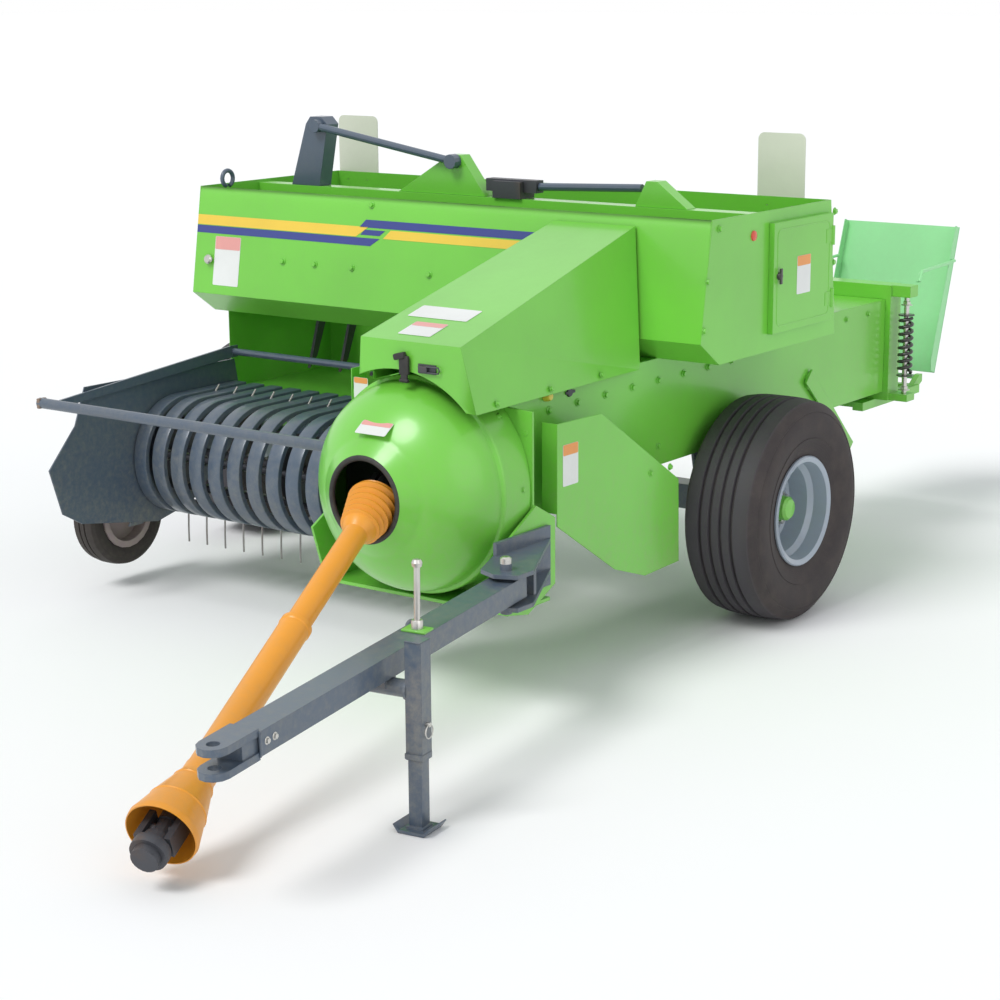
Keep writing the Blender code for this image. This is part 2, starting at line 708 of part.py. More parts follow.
# ------------------------------------------------------------------ pickup
def pickup():
    pivot_y, pivot_z = PICKUP_PIVOT
    lift = joint_empty("pickup_axis", (PICKUP_RIGHT / 2, pivot_y, pivot_z), machine)
    width = 0.005
    outline = [(-0.424, 0.704), (-1.128, 0.71), (-1.176, 0.59), (-1.296, 0.463), (-1.248, 0.311), (-1.166, 0.264)]
    outline += [(-0.824, 0.205), (-0.66, 0.24), (-0.46, 0.40), (-0.39, 0.52)]
    short = [(-0.424, 0.66), (-0.80, 0.68), (-0.93, 0.60), (-0.98, 0.43), (-0.93, 0.30), (-0.80, 0.215)]
    short += [(-0.66, 0.24), (-0.46, 0.40), (-0.39, 0.52)]
    right = plate(outline, "X", PICKUP_RIGHT, PICKUP_RIGHT + width)
    stub = rod((PICKUP_RIGHT - 0.05, REEL_Y, REEL_Z), (PICKUP_RIGHT + 0.004, REEL_Y, REEL_Z), 0.03)
    node("pickup_right_plate", right, SLATE, lift, add=[stub])
    left = plate(short, "X", PICKUP_LEFT, PICKUP_LEFT + width)
    node("pickup_left_plate", left, SLATE, lift)
    bands(lift, width)
    reel(lift, width)
    wind_guard(lift, width)
    gauge_wheel(lift)


def band_outline():
    """The stripper band's closed side view: a C round the reel with a flat tail to the feeder."""
    def arc(radius, start, stop, steps):
        return [
            (REEL_Y + radius * cos(radians(start + (stop - start) * i / steps)),
             REEL_Z + radius * sin(radians(start + (stop - start) * i / steps)))
            for i in range(steps + 1)
        ]
    outer = arc(BAND_RADIUS, 285, 90, 8)
    inner = arc(BAND_RADIUS - 0.004, 90, 285, 8)
    tail = [(-0.43, REEL_Z + BAND_RADIUS - 0.01), (-0.43, REEL_Z + BAND_RADIUS - 0.014)]
    return outer + tail + inner


def bands(lift, width):
    """All stripper bands, joined by the rear tie and the lower skirt."""
    first = PICKUP_RIGHT + width + FIT
    last = PICKUP_LEFT - FIT
    pitch = (last - first) / BAND_COUNT
    gap = 0.018
    outline = band_outline()
    strips = [
        plate(outline, "X", first + i * pitch, first + (i + 1) * pitch - gap) for i in range(BAND_COUNT)
    ]
    tie = box((first, -0.455, REEL_Z + BAND_RADIUS - 0.035), (last, -0.435, REEL_Z + BAND_RADIUS - 0.011))
    low_y = REEL_Y + BAND_RADIUS * cos(radians(285))
    low_z = REEL_Z + BAND_RADIUS * sin(radians(285))
    skirt = box((first, low_y - 0.004, low_z - 0.002), (last, low_y + 0.03, low_z + 0.012))
    node("pickup_bands", strips[0], SLATE, lift, add=[*strips[1:], tie, skirt])


def reel(lift, width):
    """Tine reel: a shaft, end discs, four tine bars and the sprung tines that pass between the bands."""
    spin = joint_empty("tine_reel_axis", (-0.93, REEL_Y, REEL_Z), lift)
    first = PICKUP_RIGHT + width + FIT
    last = PICKUP_LEFT - FIT
    pitch = (last - first) / BAND_COUNT
    shaft = rod((first + 0.004, REEL_Y, REEL_Z), (last - 0.004, REEL_Y, REEL_Z), 0.022, 12)
    added = []
    for x in (first + 0.006, (first + last) / 2 - 0.003, last - 0.012):
        added.append(rod((x, REEL_Y, REEL_Z), (x + 0.006, REEL_Y, REEL_Z), 0.125, 16))
    for row in range(TINE_ROWS):
        angle = radians(252) + row * 2 * pi / TINE_ROWS
        y, z = REEL_Y + 0.11 * cos(angle), REEL_Z + 0.11 * sin(angle)
        added.append(rod((first + 0.006, y, z), (last - 0.006, y, z), 0.012, 8))
        for i in range(BAND_COUNT - 1):
            x = first + (i + 1) * pitch - 0.009
            tip = (x, REEL_Y + TINE_REACH * cos(angle), REEL_Z + TINE_REACH * sin(angle))
            added.append(rod((x, y, z), tip, 0.0035, 5))
    node("tine_reel", shaft, STEEL, spin, add=added, metallic=0.8)


def wind_guard(lift, width):
    """The bar held over the pickup by two arms, free to rise over a thick swath."""
    y, z = -0.45, 0.735
    hinge = joint_empty("wind_guard_axis", (-0.93, y, z), lift)
    bar_y, bar_z = -1.27, 0.675
    right_arm = PICKUP_RIGHT + width + 0.02
    left_arm = PICKUP_LEFT - 0.03
    bar = rod((PICKUP_RIGHT - 0.05, bar_y, bar_z), (PICKUP_LEFT - 0.012, bar_y, bar_z), 0.017)
    arms = []
    for x in (right_arm, left_arm):
        outline = [(bar_y - 0.01, bar_z - 0.012), (bar_y - 0.01, bar_z + 0.012), (-0.47, z + 0.02), (-0.43, z + 0.02)]
        outline += [(-0.43, z - 0.02), (-0.47, z - 0.02)]
        arms.append(plate(outline, "X", x - 0.004, x + 0.004))
    cross = rod((right_arm, y, z), (left_arm, y, z), 0.012, 10)
    node("wind_guard", bar, SLATE, hinge, add=[*arms, cross])


def gauge_wheel(lift):
    spin = joint_empty("gauge_wheel_axis", (GAUGE_X, GAUGE_Y, GAUGE_Z), lift)
    arm = plate(
        [(GAUGE_Y - 0.03, GAUGE_Z - 0.03), (GAUGE_Y + 0.03, GAUGE_Z - 0.03), (-0.78, 0.40), (-0.84, 0.42)],
        "X", PICKUP_RIGHT - 0.010 - FIT, PICKUP_RIGHT - FIT,
    )
    stub = rod((GAUGE_X - 0.025, GAUGE_Y, GAUGE_Z), (PICKUP_RIGHT - 0.002, GAUGE_Y, GAUGE_Z), 0.012)
    node("gauge_wheel_arm", arm, SLATE, lift, add=[stub])
    place = facing_x(GAUGE_X, GAUGE_Y, GAUGE_Z, -1)
    bead = 0.095
    node(
        "gauge_tyre", turned(tyre_profile(GAUGE_RADIUS, GAUGE_WIDTH, bead), place, SMALL_STEPS), RUBBER, spin, roughness=0.85
    )
    half = GAUGE_WIDTH / 2 * BEAD_SHARE + FIT
    edge = half + FLANGE_THICKNESS
    rim = [
        (0.0, 0.034),
        (0.026, 0.030),
        (0.030, 0.0),
        (bead - 0.006, 0.0),
        (bead - 0.006, edge),
        (bead + FLANGE_HEIGHT, edge),
        (bead + FLANGE_HEIGHT, half),
        (bead - FIT, half),
        (bead - FIT, -half),
        (bead + FLANGE_HEIGHT, -half),
        (bead + FLANGE_HEIGHT, -edge),
        (bead - 0.006, -edge),
        (bead - 0.006, -0.006),
        (0.030, -0.006),
        (0.030, -0.030),
        (0.0135, -0.030),
        (0.0135, 0.0301),
        (0.0, 0.0301),
    ]
    node("gauge_rim", turned(rim, place, SMALL_STEPS, closed=False), RIM_PAINT, spin)


pickup()


# ------------------------------------------------------------------ drawbar and jack
def bar_frame(distance, side=0.0, rise=0.0):
    """A frame along the sloping bar: its -Y runs forwards from the pivot, its X across, its Z up."""
    x, y = DRAWBAR_PIVOT
    turn = Matrix.Rotation(DRAWBAR_ANGLE, 4, "Z") @ Matrix.Rotation(DRAWBAR_SLOPE, 4, "X")
    return Matrix.Translation((x, y, DRAWBAR_HEIGHT)) @ turn @ Matrix.Translation((side, -distance, rise))


def upright(place):
    """The same place, with its Z axis straight up."""
    return Matrix.Translation(place.translation) @ Matrix.Rotation(DRAWBAR_ANGLE, 4, "Z")


def placed(obj, place):
    obj.data.transform(place)
    return obj


def drawbar():
    swing = joint_empty("drawbar_axis", upright(bar_frame(0)), machine)
    half, deep = DRAWBAR_TUBE / 2, DRAWBAR_DEPTH / 2
    wall = 0.006
    tube = box((-half, -DRAWBAR_LENGTH, -deep), (half, half, deep))
    hollow = box((-half + wall, -DRAWBAR_LENGTH - 0.01, -deep + wall), (half - wall, -0.10, deep - wall))
    pin_hole = rod((0, 0, -0.1), (0, 0, 0.1), 0.018)
    front = bar_frame(0)
    node(
        "drawbar_tube", placed(tube, front), SLATE, swing,
        cut=[placed(hollow, front), placed(pin_hole, upright(front))],
    )
    ear_half, ear_gap, ear = 0.038, 0.0185, 0.018
    tongue, thick = half - wall - 2 * FIT, deep - wall - FIT
    block = box((-tongue, -DRAWBAR_LENGTH - 0.06, -thick), (tongue, -DRAWBAR_LENGTH + 0.12, thick))
    ears = []
    for low in (ear_gap, -ear_gap - ear):
        outline = [(-ear_half, -DRAWBAR_LENGTH - FIT), (-ear_half, -CLEVIS_REACH)]
        outline += [
            (-ear_half * cos(a), -CLEVIS_REACH - ear_half * sin(a)) for a in (pi / 6, pi / 3, pi / 2, 2 * pi / 3, 5 * pi / 6)
        ]
        outline += [(ear_half, -CLEVIS_REACH), (ear_half, -DRAWBAR_LENGTH - FIT)]
        ears.append(plate(outline, "Z", low, low + ear))
    hole = rod((0, -CLEVIS_REACH, -0.1), (0, -CLEVIS_REACH, 0.1), 0.0155, 20)
    node(
        "hitch_clevis", placed(block, front), SLATE, swing,
        add=[placed(ear_plate, front) for ear_plate in ears], cut=[placed(hole, front)],
    )
    jack(swing)


def jack(swing):
    """Square telescopic jack on a cross tube under the bar. It swings up backwards for the road."""
    side = DRAWBAR_TUBE / 2 + JACK_GAP + JACK_OUTER / 2
    seat = bar_frame(JACK_REACH, 0, -DRAWBAR_DEPTH / 2 - 0.024)
    place = upright(seat)
    tube_z = place.translation.z
    pivot = joint_empty("jack_axis", place, swing)
    half = JACK_OUTER / 2
    cross = rod((-0.06, 0, 0), (side - half - 0.006 - FIT, 0, 0), 0.022)
    saddle = box((-0.03, -0.025, 0.0), (0.03, 0.025, 0.024 - FIT))
    node("jack_cross_tube", placed(cross, place), SLATE, swing, add=[placed(saddle, seat)])
    outer = box((side - half, -half, 0.18 - tube_z), (side + half, half, 0.475 - tube_z))
    inside = half - JACK_WALL
    bore = box((side - inside, -inside, 0.17 - tube_z), (side + inside, inside, 0.45 - tube_z))
    boss = rod((side - half - 0.006, 0, 0), (side - half + 0.002, 0, 0), 0.028)
    node("jack_outer_tube", placed(outer, place), SLATE, pivot, add=[placed(boss, place)], cut=[placed(bore, place)])
    reach = JACK_INNER / 2
    leg = box((side - reach, -reach, 0.012 - tube_z), (side + reach, reach, 0.40 - tube_z))
    foot = plate(
        [(side + FOOT_WIDTH / 2 * cos(i * pi / 12), FOOT_LENGTH / 2 * sin(i * pi / 12)) for i in range(24)],
        "Z", -tube_z, 0.014 - tube_z,
    )
    node("jack_leg", placed(leg, place), SLATE, pivot, add=[placed(foot, place)])


drawbar()


# ------------------------------------------------------------------ drive shaft
def drive_shaft():
    """Telescopic drive shaft in its guard: it lies with its front yoke on the ground."""
    place = Matrix.Translation(PTO_PIVOT) @ Matrix.Rotation(PTO_YAW, 4, "Z") @ Matrix.Rotation(PTO_PITCH, 4, "X")
    along = place @ Matrix.Rotation(pi / 2, 4, "X")
    lift = joint_empty("drive_shaft_axis", place, machine)
    slide = joint_empty("drive_shaft_slide", place, lift)
    spin = joint_empty("drive_yoke_axis", place @ Matrix.Translation((0, -PTO_LENGTH, 0)), slide)
    rear = [
        (0.074, 0.045), (0.078, 0.055), (0.078, 0.075), (0.070, 0.085), (0.074, 0.10), (0.064, 0.115),
        (0.067, 0.13), (0.054, 0.15), (0.051, 0.175), (0.034, 0.195), (0.034, 0.95),
    ]
    inner = [(0.030, 0.95), (0.030, 0.19), (0.045, 0.17), (0.048, 0.145), (0.059, 0.11), (0.066, 0.06), (0.066, 0.045)]
    rear_guard = list(reversed(rear)) + list(reversed(inner))
    node("drive_guard_rear", turned(rear_guard, along, SMALL_STEPS), ORANGE, lift)
    front = [
        (0.088, 1.385), (0.090, 1.37), (0.074, 1.30), (0.052, 1.215), (0.043, 1.19), (0.043, 0.60),
        (0.038, 0.60), (0.038, 1.195), (0.048, 1.22), (0.070, 1.305), (0.085, 1.37), (0.084, 1.385),
    ]
    node("drive_guard_front", turned(front, along, SMALL_STEPS), ORANGE, slide)
    stub = rod((0, 0, -0.02), (0, 0, 0.86), 0.020, 16)
    yoke = rod((0, 0, -0.045), (0, 0, 0.03), 0.030, 16)
    ears = [box((x - 0.008, -0.025, -0.06), (x + 0.008, 0.025, 0.05)) for x in (-0.036, 0.036)]
    bridge = box((-0.04, -0.02, 0.02), (0.04, 0.02, 0.045))
    rear_shapes = [placed(shape, along) for shape in (yoke, *ears, bridge)]
    node("drive_shaft_rear", placed(stub, along), DARK, lift, add=rear_shapes, metallic=0.5)
    shaft = rod((0, 0, 1.0), (0, 0, 1.35), 0.026, 16)
    tip = rod((0, 0, 1.40), (0, 0, PTO_LENGTH), 0.034, 20)
    collar = rod((0, 0, 1.425), (0, 0, 1.45), 0.046, 20)
    arms = [box((x - 0.008, -0.026, 1.335), (x + 0.008, 0.026, 1.42)) for x in (-0.038, 0.038)]
    cross = rod((-0.046, 0, 1.37), (0.046, 0, 1.37), 0.014, 12)
    neck = rod((0, 0, 1.34), (0, 0, 1.41), 0.022, 12)
    front_shapes = [placed(shape, along) for shape in (tip, collar, *arms, cross, neck)]
    node("drive_shaft_front", placed(shaft, along), DARK, spin, add=front_shapes, metallic=0.5)


drive_shaft()


# ------------------------------------------------------------------ guards, knotter and needles
def needle_guard():
    """The bent side shield ahead of the left wheel, on two stays from the chamber."""
    x = 0.322
    outline = [(-1.10, 0.79), (-0.88, 0.785), (-0.464, 0.519), (-0.458, 0.264), (-0.646, 0.259), (-0.807, 0.313)]
    outline.append((-1.10, 0.50))
    face = plate(outline, "X", x - SHEET, x)
    lip = box((CHAMBER_HALF + 0.05, -1.10, 0.535), (x, -1.10 + SHEET, 0.79))
    stays = [box((CHAMBER_HALF + FIT, y, z), (x - 0.001, y + 0.03, z + 0.006)) for y, z in ((-0.95, 0.72), (-0.62, 0.58))]
    node("side_guard", face, GREEN, add=[lip, *stays])


def knotter():
    """The knotter's frame, shaft and discs on the chamber's roof behind the trough."""
    low = CHAMBER_TOP + FIT
    base = box((-0.20, 0.49, low), (0.20, 0.71, low + 0.012))
    outline = [(0.50, low + 0.006), (0.70, low + 0.006), (0.66, low + 0.17), (0.56, low + 0.19)]
    cheeks = [plate(outline, "X", x, x + PLATE) for x in (-0.19, 0.182)]
    shaft = rod((-0.195, 0.61, low + 0.12), (0.195, 0.61, low + 0.12), 0.018)
    discs = [rod((x, 0.61, low + 0.12), (x + 0.022, 0.61, low + 0.12), 0.085, 24) for x in (-0.125, 0.09)]
    node("knotter", base, STEEL, add=[*cheeks, shaft, *discs], metallic=0.6)


def needle_frame():
    """The needle yoke hanging from the chamber's sides, with two curved needles below their slots."""
    top_y, top_z = 0.52, 0.66
    low_y, low_z = 0.80, 0.40
    arms = []
    side = CHAMBER_HALF + 0.006
    for x in (-side - PLATE, side):
        outline = [(top_y - 0.04, top_z), (top_y, top_z + 0.04), (top_y + 0.04, top_z), (low_y + 0.03, low_z)]
        outline += [(low_y, low_z - 0.03), (low_y - 0.03, low_z)]
        arms.append(plate(outline, "X", x, x + PLATE))
    cross = rod((-side - PLATE / 2, low_y, low_z), (side + PLATE / 2, low_y, low_z), 0.022)
    pivots = [rod((x, top_y, top_z), (x + 0.010, top_y, top_z), 0.03) for x in (-side - 0.010 + 0.006 - FIT, CHAMBER_HALF + FIT)]
    needles = []
    for x in (-0.11, 0.11):
        route = [(x, low_y + 0.005 - 0.30 * (1 - cos(a)), low_z + 0.015 + 0.11 * sin(a)) for a in (0, 0.4, 0.8, 1.1, 1.4)]
        needles.append(pipe(route, 0.009, "needle", 2))
    node("needle_frame", cross, GREEN, add=[*arms, *pivots, *needles])


def tension_springs():
    """Bale tension springs beside the outlet, between the collar's upper and lower rails."""
    y = 1.11
    for side, x in (("left", CHAMBER_HALF + 0.064), ("right", -CHAMBER_HALF - 0.064)):
        low, high = CHAMBER_BOTTOM - 0.005 - FIT, CHAMBER_TOP + 0.01
        coil = rod((x, y, 0.645), (x, y, 0.80), 0.030, 20)
        bolt = rod((x, y, low + FIT), (x, y, high), 0.008, 10)
        node(f"tension_spring_{side}", coil, DARK, add=[bolt], roughness=0.5, metallic=0.3)


needle_guard()
knotter()
needle_frame()
tension_springs()


# ------------------------------------------------------------------ bale chute
def chute():
    y, z = CHUTE_HINGE
    half = CHUTE_WIDTH / 2
    low = CHAMBER_BOTTOM - 0.03 - 2 * FIT
    arms = [box((x - 0.02, 0.98, low - 0.03), (x + 0.02, y - 0.03, low)) for x in (-0.17, 0.17)]
    tie = box((-0.19, y - 0.06, low - 0.03), (0.19, y - 0.03, low))
    pad = box((-0.19, 1.03, low - 0.03), (0.19, 1.14, low))
    knuckles = [plate([(y - 0.06, low), (y - 0.06, low - 0.03), (y + 0.012, z - 0.015), (y + 0.012, z + 0.012), (y - 0.012, z + 0.012)], "X", x, x + 0.02) for x in (-0.18, 0.16)]
    node("chute_arms", arms[0], GREEN, add=[arms[1], tie, pad, *knuckles])
    fold = joint_empty("chute_axis", (0, y, z), machine)
    lean = sin(CHUTE_LEAN), cos(CHUTE_LEAN)

    def along(distance, out):
        return (y + distance * lean[0] + out * lean[1], z + distance * lean[1] - out * lean[0])

    outline = [along(0.022, 0), along(CHUTE_LENGTH, 0), along(CHUTE_LENGTH, SHEET), along(0.022, SHEET)]
    panel = plate(outline, "X", -half, half)
    sides = []
    for x in (-half + 0.0005, half - SHEET - 0.0005):
        flange = [along(0.024, SHEET / 2), along(CHUTE_LENGTH - 0.002, SHEET / 2), along(CHUTE_LENGTH - 0.002, -0.03)]
        flange += [along(0.06, -0.045), along(0.024, -0.03)]
        sides.append(plate(flange, "X", x, x + SHEET))
    stay_x = half + 0.012
    stay = pipe(
        [(half - 0.002, *along(0.44, -0.015)), (stay_x, *along(0.44, -0.02)), (stay_x, 1.31, 0.945), (stay_x, 1.29, 0.91)],
        0.006,
        "stay",
        2,
    )
    hinge_bar = rod((-0.15, y, z), (0.15, y, z), 0.009, 10)
    lug = [along(-0.012, -0.010), along(-0.012, 0.010), along(0.03, 0.005), along(0.05, 0.002), along(0.05, 0.001)]
    lug.append(along(0.03, -0.006))
    lugs = [plate(lug, "X", x, x + 0.012) for x in (-0.12, 0.108)]
    node("chute_panel", panel, PALE_GREEN, fold, add=[*sides, *lugs, hinge_bar, stay])


chute()


# ------------------------------------------------------------------ origin under the middle of the machine
def stand_on_origin():
    bpy.context.view_layer.update()
    graph = bpy.context.evaluated_depsgraph_get()
    low = Vector((1e9, 1e9, 1e9))
    high = -low
    for obj in parts.objects:
        shape = obj.evaluated_get(graph)
        mesh = shape.to_mesh()
        for vertex in mesh.vertices:
            place = shape.matrix_world @ vertex.co
            low = Vector(map(min, low, place))
            high = Vector(map(max, high, place))
        shape.to_mesh_clear()
    machine.location = (-(low.x + high.x) / 2, -(low.y + high.y) / 2, -low.z)


stand_on_origin()
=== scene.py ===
"""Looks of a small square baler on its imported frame: finishes, stripes, tread, fasteners and fittings."""

from math import atan2, cos, pi, radians, sin, tau

import bmesh
import bpy
from mathutils import Euler, Matrix, Vector


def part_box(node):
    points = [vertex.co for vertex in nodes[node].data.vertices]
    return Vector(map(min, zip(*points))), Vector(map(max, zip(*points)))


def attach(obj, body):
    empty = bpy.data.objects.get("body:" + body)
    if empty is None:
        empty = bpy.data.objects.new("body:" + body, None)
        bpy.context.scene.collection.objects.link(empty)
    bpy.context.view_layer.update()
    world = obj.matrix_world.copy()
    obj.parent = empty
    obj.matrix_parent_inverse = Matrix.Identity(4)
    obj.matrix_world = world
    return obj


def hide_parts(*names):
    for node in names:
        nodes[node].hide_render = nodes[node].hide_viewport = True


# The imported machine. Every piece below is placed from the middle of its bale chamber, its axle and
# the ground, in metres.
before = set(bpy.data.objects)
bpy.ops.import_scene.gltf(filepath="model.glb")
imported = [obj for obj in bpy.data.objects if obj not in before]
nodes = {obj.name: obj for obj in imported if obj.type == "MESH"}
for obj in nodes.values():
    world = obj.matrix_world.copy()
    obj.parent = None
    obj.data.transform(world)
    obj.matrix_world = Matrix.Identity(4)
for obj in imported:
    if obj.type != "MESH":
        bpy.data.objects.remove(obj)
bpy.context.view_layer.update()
chamber_low, chamber_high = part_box("bale_chamber")
tyre_low, tyre_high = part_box("left_tyre")
MACHINE = Vector(((chamber_low.x + chamber_high.x) / 2, (tyre_low.y + tyre_high.y) / 2, 0))


def at(x, y, z):
    """A point across, along and above, from the chamber's middle, the axle and the ground."""
    return MACHINE + Vector((x, y, z))


# The viewer stands off the machine's left front corner at a little over head height, and looks
# slightly down through a long lens.
camera_data = bpy.data.cameras.new("camera")
camera_data.lens = 80.73
camera_data.sensor_width = 36
camera_data.clip_end = 300
camera = bpy.data.objects.new("camera", camera_data)
bpy.context.scene.collection.objects.link(camera)
camera.matrix_world = (
    Matrix.Translation(at(3.778, -6.062, 1.998))
    @ Euler((radians(90 - 13.222), 0, radians(36.36))).to_matrix().to_4x4()
    @ Matrix.Rotation(radians(-0.382), 4, "Z")
)
bpy.context.scene.camera = camera


# The studio. The floor is a wide matt white sheet and the sky a plain white dome, and one broad
# soft sun from the machine's front right gives the main light.
class Wire:
    """A socket of a node tree. Arithmetic on it adds Math nodes, and node() adds any other node."""

    def __init__(self, tree, socket=None):
        self.tree = tree
        self.socket = socket

    def node(self, kind, settings=None, values=None, out=0):
        made = self.tree.nodes.new(kind)
        for key, value in (settings or {}).items():
            if key == "stops":
                while len(made.color_ramp.elements) < len(value):
                    made.color_ramp.elements.new(1.0)
                for element, (position, colour) in zip(made.color_ramp.elements, value):
                    element.position = position
                    element.color = colour
            else:
                setattr(made, key, value)
        for key, value in (values or {}).items():
            if isinstance(value, Wire):
                self.tree.links.new(value.socket, made.inputs[key])
            else:
                made.inputs[key].default_value = value
        return Wire(self.tree, made.outputs[out])

    def math(self, operation, *values):
        return self.node("ShaderNodeMath", {"operation": operation}, dict(enumerate(values)))

    def __add__(self, other):
        return self.math("ADD", self, other)

    def __sub__(self, other):
        return self.math("SUBTRACT", self, other)

    def __rsub__(self, other):
        return self.math("SUBTRACT", other, self)

    def __mul__(self, other):
        return self.math("MULTIPLY", self, other)

    __radd__ = __add__
    __rmul__ = __mul__

    def smooth(self, low, high):
        """0 below low, 1 above high, and a soft step between them."""
        values = {"Value": self, "From Min": low, "From Max": high}
        return self.node("ShaderNodeMapRange", {"interpolation_type": "SMOOTHSTEP"}, values)

    def blend(self, first, second):
        """The first colour where this mask is 0, and the second where it is 1."""
        values = {0: self, 6: first, 7: second}
        return self.node("ShaderNodeMix", {"data_type": "RGBA"}, values, out=2)

    def noise(self, scale, detail=3.0, rough=0.55):
        """A noise pattern read at this point."""
        values = {"Vector": self, "Scale": scale, "Detail": detail, "Roughness": rough}
        return self.node("ShaderNodeTexNoise", None, values)


def new_finish(name, **fixed):
    """A material with a Principled shader whose fixed sockets are set by name."""
    material = bpy.data.materials.new(name)
    material.use_nodes = True
    shader = material.node_tree.nodes["Principled BSDF"]
    for key, value in fixed.items():
        shader.inputs[key.replace("_", " ")].default_value = value
    return material, Wire(material.node_tree)


def feed(material, **wires):
    """Link what varies over the surface to the Principled shader."""
    shader = material.node_tree.nodes["Principled BSDF"]
    for key, wire in wires.items():
        material.node_tree.links.new(wire.socket, shader.inputs[key.replace("_", " ")])


def floor_sheet():
    work = bmesh.new()
    bmesh.ops.create_grid(work, x_segments=1, y_segments=1, size=90)
    mesh = bpy.data.meshes.new("floor")
    work.to_mesh(mesh)
    work.free()
    floor = bpy.data.objects.new("floor", mesh)
    floor.location.z = -0.0006
    bpy.context.scene.collection.objects.link(floor)
    matt, wires = new_finish("floor_matt", Roughness=0.95)
    place = wires.node("ShaderNodeTexCoord", out=3)
    feed(matt, Base_Color=place.noise(0.5).blend((0.93, 0.93, 0.93, 1), (0.95, 0.95, 0.95, 1)))
    mesh.materials.append(matt)


def sky_dome():
    world = bpy.data.worlds.new("studio")
    world.use_nodes = True
    bpy.context.scene.world = world
    tree = world.node_tree
    wires = Wire(tree)
    ray = wires.node("ShaderNodeLightPath")
    outputs = ray.socket.node.outputs
    seen = Wire(tree, outputs["Is Camera Ray"])
    mirrored = Wire(tree, outputs["Is Glossy Ray"]) + Wire(tree, outputs["Is Transmission Ray"])
    shown = (seen + mirrored).math("MINIMUM", seen + mirrored, 1.0)
    lit = wires.node("ShaderNodeBackground", None, {"Color": (0.94, 0.97, 1, 1), "Strength": 0.62})
    white = wires.node("ShaderNodeBackground", None, {"Color": (1, 1, 1, 1), "Strength": 1.0})
    both = wires.node("ShaderNodeMixShader", None, {0: shown, 1: lit, 2: white})
    tree.links.new(both.socket, tree.nodes["World Output"].inputs["Surface"])


def sun(name, towards, strength, width):
    lamp = bpy.data.lights.new(name, "SUN")
    lamp.energy = strength
    lamp.angle = radians(width)
    obj = bpy.data.objects.new(name, lamp)
    obj.rotation_mode = "QUATERNION"
    obj.rotation_quaternion = Vector((0, 0, -1)).rotation_difference(Vector(towards))
    bpy.context.scene.collection.objects.link(obj)


floor_sheet()
sky_dome()
sun("key", (0.18, 0.75, -0.95), 1.75, 24)
sun("side_fill", (-0.95, 0.25, -0.35), 0.45, 50)
bpy.context.scene.view_settings.view_transform = "Standard"

# Paint. The machine's sheet metal is sprayed bright green and baked, and its forgings and tubes are
# slate grey. Fine orange peel, slow ripples in the sheet and a little field dust low down show on it.
DUST = (0.36, 0.33, 0.24, 1)


def painted(name, colour, rough=0.32, coat=0.35, dirt=0.5, edge=0.003):
    """Sprayed paint on steel: the folds and edges catch the light over the given radius."""
    material, wires = new_finish(name, Coat_Weight=coat, Coat_Roughness=0.14, IOR=1.5)
    place = wires.node("ShaderNodeTexCoord", out=3)
    height = wires.node("ShaderNodeSeparateXYZ", None, {0: place}, out=2)
    cloud = place.noise(2.1, 4.0)
    grit = place.noise(46, 4.0, 0.7)
    speck = place.noise(210, 2.0).smooth(0.66, 0.78)
    low_down = 1.0 - height.smooth(0.08, 0.95)
    dusty = (cloud * 0.55 + grit * 0.6).smooth(0.42, 0.95) * (low_down * 0.75 + 0.12) * dirt
    deeper = tuple(part * 0.84 for part in colour[:3]) + (1,)
    tint = (cloud.smooth(0.25, 0.8) * 0.8 + grit * 0.2).blend(colour, deeper)
    tint = (speck * 0.10 * dirt).blend(tint, DUST)
    feed(material, Base_Color=dusty.blend(tint, DUST))
    feed(material, Roughness=rough + (cloud - 0.5) * 0.10 + dusty * 0.45 + (grit - 0.5) * 0.05)
    folded = wires.node("ShaderNodeBevel", {"samples": 4}, {"Radius": edge})
    ripple = wires.node(
        "ShaderNodeBump", None,
        {"Strength": 0.10, "Distance": 0.02, "Height": place.noise(3.0, 1.0), "Normal": folded},
    )
    peel = wires.node(
        "ShaderNodeBump", None,
        {"Strength": 0.05, "Distance": 0.0006, "Height": place.noise(420, 2.0), "Normal": ripple},
    )
    feed(material, Normal=peel)
    return material


def dress(material, *names):
    """Give CAD nodes a finish."""
    for name in names:
        for slot in nodes[name].material_slots:
            slot.material = material


green = painted("green_paint", (0.175, 0.60, 0.055, 1))
mint = painted("mint_paint", (0.30, 0.76, 0.33, 1), rough=0.38)
slate = painted("slate_paint", (0.072, 0.104, 0.152, 1), rough=0.36, dirt=0.7)
blackened = painted("black_paint", (0.022, 0.020, 0.022, 1), rough=0.42, dirt=0.8, edge=0.0015)
dress(green, "bale_chamber", "chamber_rear_frame", "chute_arms", "feeder_box", "feeder_bracket")
dress(green, "feeder_bridge", "feeder_channel", "feeder_crank", "front_frame", "hood", "left_hub")
dress(green, "right_hub", "side_guard", "twine_door", "needle_frame")
dress(slate, "axle_beam", "drawbar_bracket", "drawbar_tube", "feeder_lever", "feeder_rod_left")
dress(slate, "feeder_rod_right", "gauge_wheel_arm", "hitch_clevis", "jack_cross_tube", "jack_leg")
dress(slate, "jack_outer_tube", "pickup_left_plate", "pickup_right_plate", "wind_guard")
dress(mint, "chute_panel")


